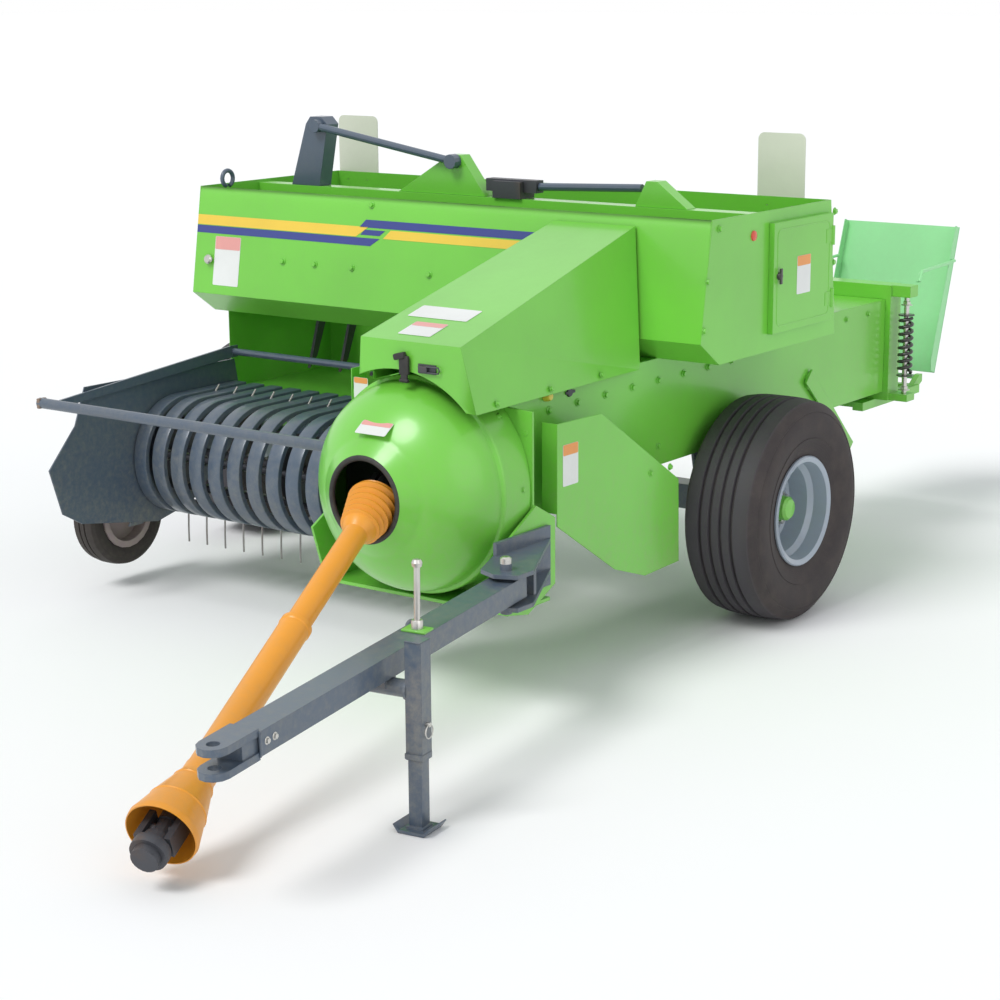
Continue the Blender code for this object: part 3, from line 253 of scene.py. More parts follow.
# Bare and dark metal. Castings and the knotter are blackened iron, and shafts and fasteners are
# zinc-plated or bare steel with a little staining.
def bare_metal(name, colour, rough=0.34, stain=0.3, metallic=1.0):
    """Bare, plated or cast metal with fine grain and brown stains."""
    material, wires = new_finish(name, Metallic=metallic)
    place = wires.node("ShaderNodeTexCoord", out=3)
    cloud = place.noise(9, 5.0)
    grain = place.noise(260, 3.0)
    stained = cloud.smooth(0.52, 0.80) * stain
    feed(material, Base_Color=stained.blend(colour, (0.20, 0.11, 0.055, 1)))
    feed(material, Roughness=rough + stained * 0.35 + (grain - 0.5) * 0.18)
    bump = wires.node("ShaderNodeBump", None, {"Strength": 0.18, "Distance": 0.0006, "Height": grain})
    feed(material, Normal=bump)
    return material


cast_iron = bare_metal("cast_iron", (0.075, 0.078, 0.09, 1), rough=0.46, stain=0.35, metallic=0.55)
zinc = bare_metal("zinc_plate", (0.58, 0.57, 0.54, 1), rough=0.30, stain=0.18)
dress(cast_iron, "flywheel", "gearbox", "feeder_clamp", "packer_fork", "knotter")
dress(cast_iron, "drive_shaft_front", "drive_shaft_rear")


def piece(name, work, material, body, stands_for=(), sharp=35):
    """Make a finished object from a bmesh, riding on its body and standing for the CAD nodes named."""
    bmesh.ops.remove_doubles(work, verts=work.verts, dist=0.000004)
    bmesh.ops.recalc_face_normals(work, faces=work.faces)
    mesh = bpy.data.meshes.new(name)
    work.to_mesh(mesh)
    work.free()
    mesh.materials.append(material)
    return settled(bpy.data.objects.new(name, mesh), body, stands_for, sharp)


def settled(obj, body, stands_for=(), sharp=35):
    if not obj.users_collection:
        bpy.context.scene.collection.objects.link(obj)
    obj.data.shade_smooth()
    obj.data.set_sharp_from_angle(angle=radians(sharp))
    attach(obj, body)
    if stands_for:
        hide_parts(*stands_for)
    return obj


# The road wheels. Each is a ribbed implement tyre on a deep pressed rim, bolted to a green hub by five
# nuts, with the valve in a slot of the rim's barrel, the slot a near-black oval of painted shade.
def turn(work, profile, place, steps):
    """Add a closed profile of (radius, height) points, turned about the Z axis of a frame."""
    rings = []
    for i in range(steps):
        spin = place @ Matrix.Rotation(tau * i / steps, 4, "Z")
        rings.append([work.verts.new(spin @ Vector((radius, 0, height))) for radius, height in profile])
    for i, ring in enumerate(rings):
        following = rings[(i + 1) % steps]
        for j in range(len(ring)):
            k = (j + 1) % len(ring)
            work.faces.new((ring[j], ring[k], following[k], following[j]))


def arc(centre, radius, start, stop, steps):
    """Points of (u, v) along an arc, given in degrees."""
    angles = [radians(start + (stop - start) * i / steps) for i in range(steps + 1)]
    return [(centre[0] + radius * cos(a), centre[1] + radius * sin(a)) for a in angles]


def sideways(centre, outward):
    """A frame at a wheel's centre whose Z axis points out along the axle."""
    return Matrix.Translation(centre) @ Matrix.Rotation(outward * pi / 2, 4, "Y")


def tread_profile(radius, half, ribs, groove, depth, bead):
    """A tyre's section: round crown cut by grooves, bulging side walls, beads and a hollow inside."""

    def crown(w):
        share = abs(w) / half
        return radius * (1 - 0.008 * share**2 - 0.045 * share**4)

    edge = 0.80 * half
    pitch = 2 * edge * 0.86 / ribs
    points = [(crown(edge), edge)]
    for i in range(ribs - 1):
        w = edge * 0.86 - pitch * (i + 1)
        mouth, root = groove / 2, groove / 3.4
        for offset, sink in ((mouth, 0), (root, depth), (-root, depth), (-mouth, 0)):
            points.append((crown(w + offset) - sink, w + offset))
        middle = w - pitch / 2
        points.append((crown(middle), middle))
    points.append((crown(edge), -edge))
    wall = [(0.925, 0.915), (0.895, 0.965), (0.885, 0.955), (0.86, 0.992), (0.80, 1.0), (0.74, 0.99)]
    wall += [(0.66, 0.94), (0.655, 0.955), (0.635, 0.935), (0.59, 0.89)]
    right = [(radius * r, -half * w) for r, w in wall if radius * r > bead + 0.02]
    left = [(radius * r, half * w) for r, w in reversed(wall) if radius * r > bead + 0.02]
    inner = [(bead + 0.016, -half * 0.80), (bead, -half * 0.80), (bead, -half * 0.72)]
    inner += [(radius * 0.80, -half * 0.90), (radius * 0.90, -half * 0.6), (radius - 0.022, 0)]
    inner += [(radius * 0.90, half * 0.6), (radius * 0.80, half * 0.90), (bead, half * 0.72)]
    inner += [(bead, half * 0.80), (bead + 0.016, half * 0.80)]
    return points + right + inner + left


def tyre_rubber(name, centre, radius):
    """Dark brown-black rubber, dusty in the grooves and paler on the crown."""
    material, wires = new_finish(name, Specular_IOR_Level=0.35)
    mapped = wires.node(
        "ShaderNodeMapping", None,
        {0: wires.node("ShaderNodeTexCoord", out=3), "Location": tuple(-part for part in centre)},
    )
    spoke = mapped.node("ShaderNodeVectorMath", {"operation": "MULTIPLY"}, {0: mapped, 1: (0, 1, 1)})
    out = spoke.node("ShaderNodeVectorMath", {"operation": "LENGTH"}, {0: spoke}, out=1)
    worn = out.smooth(radius * 0.955, radius * 0.99)
    cloud = mapped.noise(14, 5.0)
    fine = mapped.noise(180, 3.0)
    dust = ((1.0 - worn) * 0.25 + 0.1) * cloud.smooth(0.35, 0.75)
    base = worn.blend((0.038, 0.031, 0.032, 1), (0.062, 0.057, 0.066, 1))
    base = dust.blend(base, (0.13, 0.11, 0.10, 1))
    feed(material, Base_Color=base)
    feed(material, Roughness=0.62 + dust * 0.6 + fine * 0.14)
    rings = (out * 900.0).math("SINE", out * 900.0) * (1.0 - worn)
    bump = wires.node(
        "ShaderNodeBump", None, {"Strength": 0.22, "Distance": 0.0008, "Height": rings * 0.25 + fine},
    )
    feed(material, Normal=bump)
    return material


def repeated(name, work, material, count=1, step=(0, 0, 0), turns=1, axis=(1, 0, 0), start=(0, 0, 0)):
    """Copies of one shape by Geometry Nodes: in a row along step, and turned about an axis through start."""
    mesh = bpy.data.meshes.new(name)
    bmesh.ops.recalc_face_normals(work, faces=work.faces)
    work.to_mesh(mesh)
    work.free()
    obj = bpy.data.objects.new(name, mesh)
    bpy.context.scene.collection.objects.link(obj)
    group = repeat_tree()
    change = obj.modifiers.new("repeat", "NODES")
    change.node_group = group
    inputs = {"Count": count, "Step": step, "Turns": turns, "Axis": axis, "Start": start, "Finish": material}
    for item in group.interface.items_tree:
        if item.item_type == "SOCKET" and item.in_out == "INPUT" and item.name in inputs:
            change[item.identifier] = inputs[item.name]
    shape = obj.evaluated_get(bpy.context.evaluated_depsgraph_get())
    made = bpy.data.meshes.new_from_object(shape)
    obj.modifiers.remove(change)
    obj.data = made
    return obj


def repeat_tree():
    """The tree behind repeated(): points in a row, the shape on each, turned in equal parts of a circle."""
    if "repeat_shape" in bpy.data.node_groups:
        return bpy.data.node_groups["repeat_shape"]
    group = bpy.data.node_groups.new("repeat_shape", "GeometryNodeTree")
    sockets = (
        ("Shape", "NodeSocketGeometry"), ("Count", "NodeSocketInt"), ("Step", "NodeSocketVector"),
        ("Turns", "NodeSocketInt"), ("Axis", "NodeSocketVector"), ("Start", "NodeSocketVector"),
        ("Finish", "NodeSocketMaterial"),
    )
    for title, kind in sockets:
        group.interface.new_socket(title, in_out="INPUT", socket_type=kind)
    group.interface.new_socket("Shape", in_out="OUTPUT", socket_type="NodeSocketGeometry")
    wires = Wire(group)
    first = wires.node("NodeGroupInput")
    given = {title: Wire(group, first.socket.node.outputs[title]) for title, kind in sockets}
    index = wires.node("GeometryNodeInputIndex")
    row = index.math("FLOOR", index.math("DIVIDE", index, given["Count"]))
    along = index - row * given["Count"]
    total = given["Count"] * given["Turns"]
    points = wires.node("GeometryNodeMeshLine", None, {"Count": total})
    offset = wires.node("ShaderNodeVectorMath", {"operation": "SCALE"}, {0: given["Step"], "Scale": along})
    placed = wires.node("GeometryNodeSetPosition", None, {"Geometry": points, "Position": offset})
    angle = row.math("DIVIDE", row * tau, given["Turns"])
    turned = wires.node(
        "FunctionNodeAxisAngleToRotation", None, {"Axis": given["Axis"], "Angle": angle}
    )
    copies = wires.node(
        "GeometryNodeInstanceOnPoints", None,
        {"Points": placed, "Instance": given["Shape"], "Rotation": turned},
    )
    real = wires.node("GeometryNodeRealizeInstances", None, {"Geometry": copies})
    moved = wires.node("GeometryNodeTransform", None, {"Geometry": real, "Translation": given["Start"]})
    dressed = wires.node("GeometryNodeSetMaterial", None, {"Geometry": moved, "Material": given["Finish"]})
    last = group.nodes.new("NodeGroupOutput")
    group.links.new(dressed.socket, last.inputs["Shape"])
    return group


def hex_head(work, place, across, height):
    """Add a bolt's hexagon head on its washer, rising along the Z axis of a frame."""
    washer = (across * 0.72, 20, 0, height * 0.22)
    head = (across / 2, 6, height * 0.2, height)
    for radius, sides, low, high in (washer, head):
        rings = []
        for r, z in ((radius, low), (radius, high - radius * 0.08), (radius * 0.9, high)):
            spots = [(r * cos(tau * i / sides), r * sin(tau * i / sides), z) for i in range(sides)]
            rings.append([work.verts.new(place @ Vector(spot)) for spot in spots])
        for lower, upper in zip(rings, rings[1:]):
            for i in range(sides):
                j = (i + 1) % sides
                work.faces.new((lower[i], lower[j], upper[j], upper[i]))
        work.faces.new(rings[-1])
        work.faces.new(list(reversed(rings[0])))


TYRE_HALF = (tyre_high.x - tyre_low.x) / 2
TYRE_RADIUS = (tyre_high.z - tyre_low.z) / 2
RIM_BEAD = 0.159
RIM_LIP = 0.1745
NUT_CIRCLE = 0.062
rim_paint = painted("rim_paint", (0.36, 0.42, 0.50, 1), rough=0.3, dirt=0.35, edge=0.0015)
# Near-black paint for the wheel valves, and painted shade for the rim slot, which is a flat dark oval.
valve_black_and_slot_shade = painted("valve_black_slot_shade", (0.012, 0.012, 0.014, 1), rough=0.6, coat=0.0, dirt=0.1)


def road_wheel(side, outward):
    low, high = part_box(f"{side}_tyre")
    centre = (low + high) / 2
    place = sideways(centre, outward)
    work = bmesh.new()
    turn(work, tread_profile(TYRE_RADIUS, TYRE_HALF, 5, 0.013, 0.010, RIM_BEAD + 0.0005), place, 144)
    rubber = tyre_rubber(f"{side}_rubber", centre, TYRE_RADIUS)
    piece(f"{side}_ribbed_tyre", work, rubber, f"{side}_wheel", [f"{side}_tyre"], sharp=32)
    edge = TYRE_HALF * 0.80
    lip = [(RIM_LIP - 0.004, edge + 0.012), (RIM_LIP, edge + 0.008), (RIM_LIP, edge + 0.002)]
    outer = [(RIM_LIP - 0.004, edge + 0.001), (RIM_BEAD - 0.001, edge + 0.0008)]
    outer += [(RIM_BEAD - 0.001, edge * 0.62), (RIM_BEAD - 0.016, edge * 0.5)]
    outer += [(RIM_BEAD - 0.016, -edge * 0.5), (RIM_BEAD - 0.001, -edge * 0.62)]
    outer += [(RIM_BEAD - 0.001, -edge - 0.0008), (RIM_LIP - 0.004, -edge - 0.001)]
    back = [(RIM_LIP, -edge - 0.002), (RIM_LIP, -edge - 0.008), (RIM_LIP - 0.004, -edge - 0.012)]
    back += [(RIM_BEAD - 0.004, -edge - 0.008), (RIM_BEAD - 0.006, -edge * 0.62)]
    back += [(RIM_BEAD - 0.021, -edge * 0.48)]
    disc = [(RIM_BEAD - 0.021, -0.024), (0.128, -0.030), (0.100, -0.020), (0.080, -0.0165), (0.046, -0.0165)]
    disc += [(0.046, -0.0105), (0.080, -0.0105), (0.102, -0.014), (0.130, -0.022), (RIM_BEAD - 0.021, -0.014)]
    front = [(RIM_BEAD - 0.021, edge * 0.48), (RIM_BEAD - 0.006, edge * 0.62)]
    front += [(RIM_BEAD - 0.004, edge + 0.006)]
    work = bmesh.new()
    turn(work, lip + outer + back + disc + front, place, 96)
    piece(f"{side}_pressed_rim", work, rim_paint, f"{side}_wheel", [f"{side}_rim"], sharp=40)
    work = bmesh.new()
    hex_head(work, sideways((outward * 0.0062, 0, NUT_CIRCLE), outward), 0.024, 0.017)
    nuts = repeated(f"{side}_wheel_nuts", work, zinc, turns=5, start=centre)
    settled(nuts, f"{side}_wheel")
    # The rim slot is a thin near-black oval on the barrel, painted shade standing for its opening; the black
    # valve stem leans out of it.
    work = bmesh.new()
    slot_place = place @ Matrix.Rotation(radians(200), 4, "Z")
    slot_place = slot_place @ Matrix.Translation((RIM_BEAD - 0.0215, 0, 0.035))
    slot_place = slot_place @ Matrix.Rotation(-pi / 2, 4, "Y")
    oval = slot_place @ Matrix.Diagonal((0.8, 1.7, 1, 1))
    turn(work, [(0.0, 0.0016), (0.010, 0.0016), (0.010, 0.0), (0.0, 0.0)], oval, 24)
    leaning = slot_place @ Matrix.Rotation(0.5, 4, "X")
    turn(work, [(0.0, 0.030), (0.0035, 0.030), (0.0042, 0.0), (0.0, 0.0)], leaning, 14)
    piece(f"{side}_valve", work, valve_black_and_slot_shade, f"{side}_wheel")


road_wheel("left", 1)
road_wheel("right", -1)


# The flywheel cover. It is one spun bell of thin sheet with a straight rim, bolted to the bulkhead,
# with a rubber edging round its mouth and a toggle latch low on its left side.
def facing(centre, normal, up=(0, 0, 1)):
    """A frame on a surface: Z along the normal, Y as near as can be to up, X to the right."""
    out = Vector(normal).normalized()
    across = Vector(up).cross(out).normalized()
    turn_to = Matrix((across, out.cross(across), out)).transposed().to_4x4()
    return Matrix.Translation(centre) @ turn_to


def slab(work, low, high, edge=0.0015, place=None):
    """Add a block between two corners, its edges rounded, in a frame."""
    low, high = Vector(low), Vector(high)
    made = bmesh.ops.create_cube(work, size=1.0)["verts"]
    bmesh.ops.scale(work, vec=high - low, verts=made)
    bmesh.ops.translate(work, vec=(low + high) / 2, verts=made)
    if place is not None:
        bmesh.ops.transform(work, matrix=place, verts=made)
    edges = list({e for vert in made for e in vert.link_edges})
    bmesh.ops.bevel(work, geom=edges, offset=edge, segments=2, profile=0.6, affect="EDGES")


def flat_plate(work, outline, place, thickness):
    """Add a flat outline of (u, v) points, raised by its thickness along a frame's Z axis."""
    low = [work.verts.new(place @ Vector((u, v, 0))) for u, v in outline]
    high = [work.verts.new(place @ Vector((u, v, thickness))) for u, v in outline]
    work.faces.new(list(reversed(low)))
    work.faces.new(high)
    for i in range(len(outline)):
        j = (i + 1) % len(outline)
        work.faces.new((low[i], low[j], high[j], high[i]))


def rounded_outline(width, height, corner, steps=4):
    """A rectangle's outline about its middle, with round corners."""
    u, v = width / 2 - corner, height / 2 - corner
    points = []
    for (cu, cv), start in (((u, v), 0), ((-u, v), 90), ((-u, -v), 180), ((u, -v), 270)):
        points += arc((cu, cv), corner, start, start + 90, steps)
    return points


def bent_bar(work, route, radius, sides=12):
    """Add a round bar along a route of points, with closed ends."""
    route = [Vector(point) for point in route]
    rings, side = [], None
    for i, point in enumerate(route):
        ahead = (route[min(i + 1, len(route) - 1)] - route[max(i - 1, 0)]).normalized()
        side = ahead.orthogonal() if side is None else side
        side = (side - ahead * side.dot(ahead)).normalized()
        other = ahead.cross(side)
        angles = [tau * k / sides for k in range(sides)]
        rings.append([work.verts.new(point + (side * cos(a) + other * sin(a)) * radius) for a in angles])
    for first, second in zip(rings, rings[1:]):
        for k in range(sides):
            j = (k + 1) % sides
            work.faces.new((first[k], first[j], second[j], second[k]))
    work.faces.new(list(reversed(rings[0])))
    work.faces.new(rings[-1])


def bolt_row(name, start, step, count, normal, body, across=0.017, finish=None):
    """A row of bolt heads standing on a face."""
    work = bmesh.new()
    hex_head(work, facing((0, 0, 0), normal, up=(0, 0.02, 1)), across, across * 0.5)
    row = repeated(name, work, finish or green, count=count, step=step, start=start)
    return settled(row, body)


rubber_black = painted("black_rubber", (0.018, 0.018, 0.019, 1), rough=0.62, coat=0.0, dirt=0.5, edge=0.001)
vinyl_white = painted("white_plate", (0.80, 0.82, 0.80, 1), rough=0.38, coat=0.2, dirt=0.25, edge=0.0005)
vinyl_orange = painted("orange_band", (0.86, 0.33, 0.07, 1), rough=0.38, coat=0.2, dirt=0.25, edge=0.0005)
vinyl_pink = painted("faded_red_band", (0.80, 0.36, 0.33, 1), rough=0.38, coat=0.2, dirt=0.25, edge=0.0005)


def blank_plate(name, centre, normal, size, body, band=None, up=(0, 0, 1), share=0.26):
    """A blank stuck-on plate, with a plain coloured band across its top if one is named."""
    width, height = size
    place = facing(centre, normal, up)
    work = bmesh.new()
    flat_plate(work, rounded_outline(width, height, 0.005), place, 0.0007)
    piece(name, work, vinyl_white, body)
    if band is not None:
        work = bmesh.new()
        top = place @ Matrix.Translation((0, height * (1 - share) / 2 - 0.0005, 0.0006))
        flat_plate(work, rounded_outline(width - 0.003, height * share, 0.004), top, 0.0005)
        piece(f"{name}_band", work, band, body)


bell_low, bell_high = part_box("flywheel_cover")
BELL_RADIUS = (bell_high.x - bell_low.x) / 2
BELL_LENGTH = bell_high.y - bell_low.y
BELL_RIM = 0.12
BELL_MOUTH = 0.116
BELL_CENTRE = Vector(((bell_low.x + bell_high.x) / 2, bell_high.y, (bell_low.z + bell_high.z) / 2))


def spun_bell():
    """The cover's sheet, the rubber edging of its mouth, and nine bolts round its rim."""
    place = Matrix.Translation(BELL_CENTRE) @ Matrix.Rotation(pi / 2, 4, "X")
    shoulder, shoulder_height = 0.165, BELL_LENGTH - 0.035
    outer = [(BELL_MOUTH, BELL_LENGTH - 0.001), (BELL_MOUTH + 0.006, BELL_LENGTH - 0.0005)]
    outer += [(0.140, BELL_LENGTH - 0.016), (shoulder - 0.004, shoulder_height + 0.002)]
    steps = 22
    for i in range(steps + 1):
        angle = i / steps * pi / 2
        radius = shoulder + (BELL_RADIUS - 0.013 - shoulder) * sin(angle)
        fall = 0.35 * cos(angle) + 0.65 * (1 - i / steps)
        outer.append((radius, BELL_RIM + 0.004 + (shoulder_height - BELL_RIM - 0.006) * fall))
    outer += [(BELL_RADIUS - 0.012, BELL_RIM + 0.001), (BELL_RADIUS - 0.003, BELL_RIM - 0.003)]
    outer += [(BELL_RADIUS - 0.0005, BELL_RIM - 0.008), (BELL_RADIUS - 0.0005, 0.010)]
    outer += [(BELL_RADIUS, 0.008), (BELL_RADIUS, 0.0005)]
    inner = [(radius - 0.003, height - 0.003) for radius, height in reversed(outer[1:-4])]
    inner = [(BELL_RADIUS - 0.004, 0.0005), (BELL_RADIUS - 0.004, BELL_RIM - 0.012), *inner]
    inner.append((BELL_MOUTH, BELL_LENGTH - 0.004))
    work = bmesh.new()
    turn(work, outer + inner, place, 144)
    piece("spun_flywheel_cover", work, green, "frame", ["flywheel_cover"], sharp=24)
    work = bmesh.new()
    edging = arc((BELL_MOUTH - 0.001, BELL_LENGTH - 0.004), 0.0085, 0, 330, 11)
    turn(work, edging, place, 96)
    piece("mouth_edging", work, rubber_black, "frame")
    work = bmesh.new()
    grip = Matrix.Translation((0, -0.035, 0)) @ Matrix.Rotation(radians(8), 4, "Y")
    hex_head(work, grip @ facing((0, 0, BELL_RADIUS - 0.001), (0, 0, 1), (0, 1, 0)), 0.013, 0.006)
    bolts = repeated("cover_bolts", work, green, turns=9, axis=(0, 1, 0), start=BELL_CENTRE)
    settled(bolts, "frame")


spun_bell()


def toggle_latch(name, place, body, finish):
    """A toggle latch: a base plate, a lever and a wire hook."""
    work = bmesh.new()
    slab(work, (-0.030, -0.013, 0), (0.030, 0.013, 0.004), 0.001, place)
    slab(work, (-0.024, -0.009, 0.004), (0.006, 0.009, 0.013), 0.002, place)
    wire = [(0.0, -0.008, 0.010), (0.042, -0.008, 0.008), (0.046, 0, 0.008)]
    wire += [(0.042, 0.008, 0.008), (0.0, 0.008, 0.010)]
    bent_bar(work, [place @ Vector(point) for point in wire], 0.0022, 8)
    piece(name, work, finish, body)


latch_angle = radians(-27)
latch_out = Vector((cos(latch_angle), 0, sin(latch_angle)))
latch_spot = BELL_CENTRE + latch_out * (BELL_RADIUS + 0.001) + Vector((0, -0.06, 0))
latch_place = facing(latch_spot, latch_out, (0, 1, 0.2)) @ Matrix.Rotation(radians(20), 4, "Z")
toggle_latch("cover_latch", latch_place, "frame", cast_iron)
cone_spot = BELL_CENTRE + Vector((0.004, -(BELL_LENGTH - 0.045), 0.190))
blank_plate("cover_plate", cone_spot, (0, -0.56, 0.83), (0.105, 0.050), "frame", vinyl_pink, share=0.34)

# The hood over the gearbox. It is a wedge of folded sheet hinged at its upper rear edge, held down in
# front by a rubber strap and a steel toggle, with two blank plates on its sloping top.
hood_low, hood_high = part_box("hood")
HOOD_FACE_Y = hood_low.y - MACHINE.y
HOOD_TOP_FRONT = 1.035
hood_rise = (hood_high.z - HOOD_TOP_FRONT) / (-0.492 - HOOD_FACE_Y)
hood_normal = Vector((0, -hood_rise, 1)).normalized()


def on_hood(x, y):
    """A point on the hood's sloping top."""
    return at(x, y, HOOD_TOP_FRONT + (y - HOOD_FACE_Y) * hood_rise) + hood_normal * 0.0006


def hood_sheet():
    """The hood with the arch in its front sheet opened out, so that the cover's rim shows whole under it."""
    source = nodes["hood"]
    mesh = source.data.copy()
    mesh.transform(source.matrix_world)
    hood = bpy.data.objects.new("hood_sheet", mesh)
    work = bmesh.new()
    turn(work, [(0, 0), (ARCH_RADIUS, 0), (ARCH_RADIUS, 0.12), (0, 0.12)], HOOD_ARCH, 96)
    bmesh.ops.recalc_face_normals(work, faces=work.faces)
    tool_mesh = bpy.data.meshes.new("arch")
    work.to_mesh(tool_mesh)
    work.free()
    arch = bpy.data.objects.new("arch", tool_mesh)
    for obj in (hood, arch):
        bpy.context.scene.collection.objects.link(obj)
    cut = hood.modifiers.new("arch", "BOOLEAN")
    cut.operation, cut.object = "DIFFERENCE", arch
    made = bpy.data.meshes.new_from_object(hood.evaluated_get(bpy.context.evaluated_depsgraph_get()))
    hood.modifiers.remove(cut)
    bpy.data.objects.remove(arch)
    made.materials.clear()
    made.materials.append(green)
    hood.data = made
    settled(hood, "hood", ["hood"])


ARCH_RADIUS = 0.336
ARCH_CENTRE = Vector((BELL_CENTRE.x, at(0, -1.34, 0).y, BELL_CENTRE.z))
HOOD_ARCH = Matrix.Translation(ARCH_CENTRE) @ Matrix.Rotation(pi / 2, 4, "X")
hood_sheet()


def rubber_strap():
    """The strap and the toggle that hold the hood's front down."""
    place = facing(at(0.035, HOOD_FACE_Y, 0.975), (0, -1, 0))
    work = bmesh.new()
    slab(work, (-0.016, -0.030, 0.004), (0.016, 0.022, 0.014), 0.004, place)
    slab(work, (-0.028, 0.014, 0.002), (0.010, 0.032, 0.018), 0.005, place @ Matrix.Rotation(0.25, 4, "Z"))
    slab(work, (-0.011, -0.052, 0.006), (0.011, -0.022, 0.013), 0.003, place)
    bent_bar(work, [place @ Vector(p) for p in ((-0.014, -0.046, 0.010), (0.014, -0.046, 0.010))], 0.005, 10)
    piece("hood_strap", work, rubber_black, "hood")
    toggle_latch("hood_latch", facing(at(0.108, HOOD_FACE_Y, 0.966), (0, -1, 0)), "hood", cast_iron)


rubber_strap()
for name, spot, size, band in (
    ("hood_plate_long", on_hood(0.020, -1.208), (0.205, 0.078), None),
    ("hood_plate_short", on_hood(0.030, -1.318), (0.112, 0.088), vinyl_pink),
):
    blank_plate(name, spot, hood_normal, size, "hood", band, up=(0, 1, 0.2), share=0.30)
slope = Vector((-0.025, 0.9, 0)).normalized()
bolt_row("hood_side_bolts", at(0.2668, -1.30, 0.873), slope * 0.262, 3, (1, 0.03, 0.3), "hood", 0.013)

# The bulkhead and its cheeks. Thick welded plates carry the cover, the drawbar and the flywheel's
# bearing, with bolts through the flanges and ribs on the left cheek.
plate_work = bmesh.new()
ear_place = Matrix.Translation(at(-0.3215, -1.2095, 0.795))
slab(plate_work, (0.0, 0.0, 0.0), (0.0035, 0.066, 0.105), 0.0012, ear_place)
piece("bulkhead_ear", plate_work, green, "frame")
blank_plate("bulkhead_plate", at(-0.285, -1.2095, 0.845), (0, -1, 0), (0.052, 0.062), "frame", vinyl_orange)
bolt_row("bulkhead_bolts_left", at(0.292, -1.2003, 0.36), (0, 0, 0.105), 5, (0, -1, 0), "frame", 0.019)
bolt_row("chamber_front_bolts", at(0.2205, -1.139, 0.802), (0.0, 0.1435, 0), 9, (1, 0, 0), "frame", 0.017)
bolt_row("chamber_low_bolts", at(0.2205, -1.02, 0.60), (0.0, 0.20, 0), 4, (1, 0, 0), "frame", 0.015)
bolt_row("chamber_rear_bolts", at(0.2205, 0.30, 0.835), (0.0, 0.16, 0), 5, (1, 0, 0), "frame", 0.015)


def grease_button():
    """A yellow grease point's cap on a small boss, with a plug beside it."""
    yellow = painted("yellow_cap", (0.86, 0.70, 0.06, 1), rough=0.35, edge=0.001)
    work = bmesh.new()
    place = facing(at(0.2205, -1.011, 0.845), (1, 0, 0))
    turn(work, [(0, 0.020), (0.010, 0.019), (0.014, 0.012), (0.016, 0.0), (0, 0)], place, 24)
    piece("grease_cap", work, yellow, "frame")
    work = bmesh.new()
    place = facing(at(0.2205, -0.895, 0.838), (1, 0, 0))
    turn(work, [(0, 0.006), (0.012, 0.005), (0.014, 0.0), (0, 0)], place, 20)
    slab(work, (-0.020, -0.004, 0.0), (0.026, 0.004, 0.004), 0.001, place)
    piece("drain_plug", work, cast_iron, "frame")


grease_button()

# The side guard is a flat sheet standing off the chamber. It gets its blank plate and two bolts.
GUARD_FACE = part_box("side_guard")[1].x - MACHINE.x
guard_spot = at(GUARD_FACE + 0.0002, -1.036, 0.667)
blank_plate("guard_plate", guard_spot, (1, 0, 0), (0.075, 0.118), "frame", vinyl_orange)
bolt_row("guard_bolts", at(GUARD_FACE, -0.62, 0.565), (0, 0.105, 0), 2, (1, 0, 0), "frame", 0.015)

# The cross feeder's trough. Its front sheet carries long blue and yellow stripes with slanted ends, a
# blank plate and a few bolts, and its left end has the raised twine door on two hinges.
stripe_yellow = painted("yellow_stripe", (0.88, 0.60, 0.06, 1), rough=0.36, coat=0.3, dirt=0.2, edge=0.0005)
stripe_blue = painted("blue_stripe", (0.028, 0.048, 0.26, 1), rough=0.36, coat=0.3, dirt=0.2, edge=0.0005)
FASCIA_TOP = 1.30
FASCIA_LEAN = Vector((0, -0.356, 0.056)).normalized()


def on_fascia(x, z):
    """A point on the trough's leaning front sheet."""
    return at(x, -0.4802 - (FASCIA_TOP - z) * 0.056 / 0.356, z)


def stripe(name, finish, low, high, starts, ends):
    """A stripe between two heights. Its ends slant: starts and ends hold x at the low and high edge."""
    place = facing(on_fascia(0, FASCIA_TOP), FASCIA_LEAN)
    stretch = 1 / -FASCIA_LEAN.y
    v_low, v_high = (low - FASCIA_TOP) * stretch, (high - FASCIA_TOP) * stretch
    work = bmesh.new()
    corners = [(starts[0], v_low), (ends[0], v_low), (ends[1], v_high), (starts[1], v_high)]
    flat_plate(work, corners, place, 0.0006)
    piece(name, work, finish, "frame")


stripe("yellow_stripe_right", stripe_yellow, 1.173, 1.206, (-1.587, -1.587), (-0.888, -0.838))
stripe("blue_stripe_right", stripe_blue, 1.146, 1.171, (-1.587, -1.587), (-0.826, -0.788))
stripe("blue_stripe_middle", stripe_blue, 1.180, 1.197, (-0.870, -0.852), (-0.790, -0.768))
stripe("blue_stripe_left", stripe_blue, 1.204, 1.229, (-0.876, -0.850), (-0.189, -0.158))
stripe("yellow_stripe_left", stripe_yellow, 1.172, 1.200, (-0.775, -0.745), (-0.266, -0.200))
blank_plate("trough_plate", on_fascia(-1.442, 1.056), FASCIA_LEAN, (0.115, 0.165), "frame", vinyl_pink)


def bolts_at(name, points, normal, body, across=0.017, finish=None):
    """Bolt heads at chosen points of one face."""
    work = bmesh.new()
    for point in points:
        hex_head(work, facing(point, normal, up=(0, 0.02, 1)), across, across * 0.5)
    piece(name, work, finish or green, body)


fascia_bolts = [on_fascia(x, 1.073) for x in (-1.192, -1.053, -0.894, -0.577)]
bolts_at("trough_bolts", [*fascia_bolts, on_fascia(-0.832, 1.276)], FASCIA_LEAN, "frame")
end_rows = ((0.258, 1.102), (-0.505, 1.125), (-0.520, 0.983), (-0.44, 1.272), (0.262, 1.262))
end_bolts = [at(0.4365, y, z) for y, z in end_rows]
bolts_at("trough_end_bolts", end_bolts, (1, 0, 0), "frame")


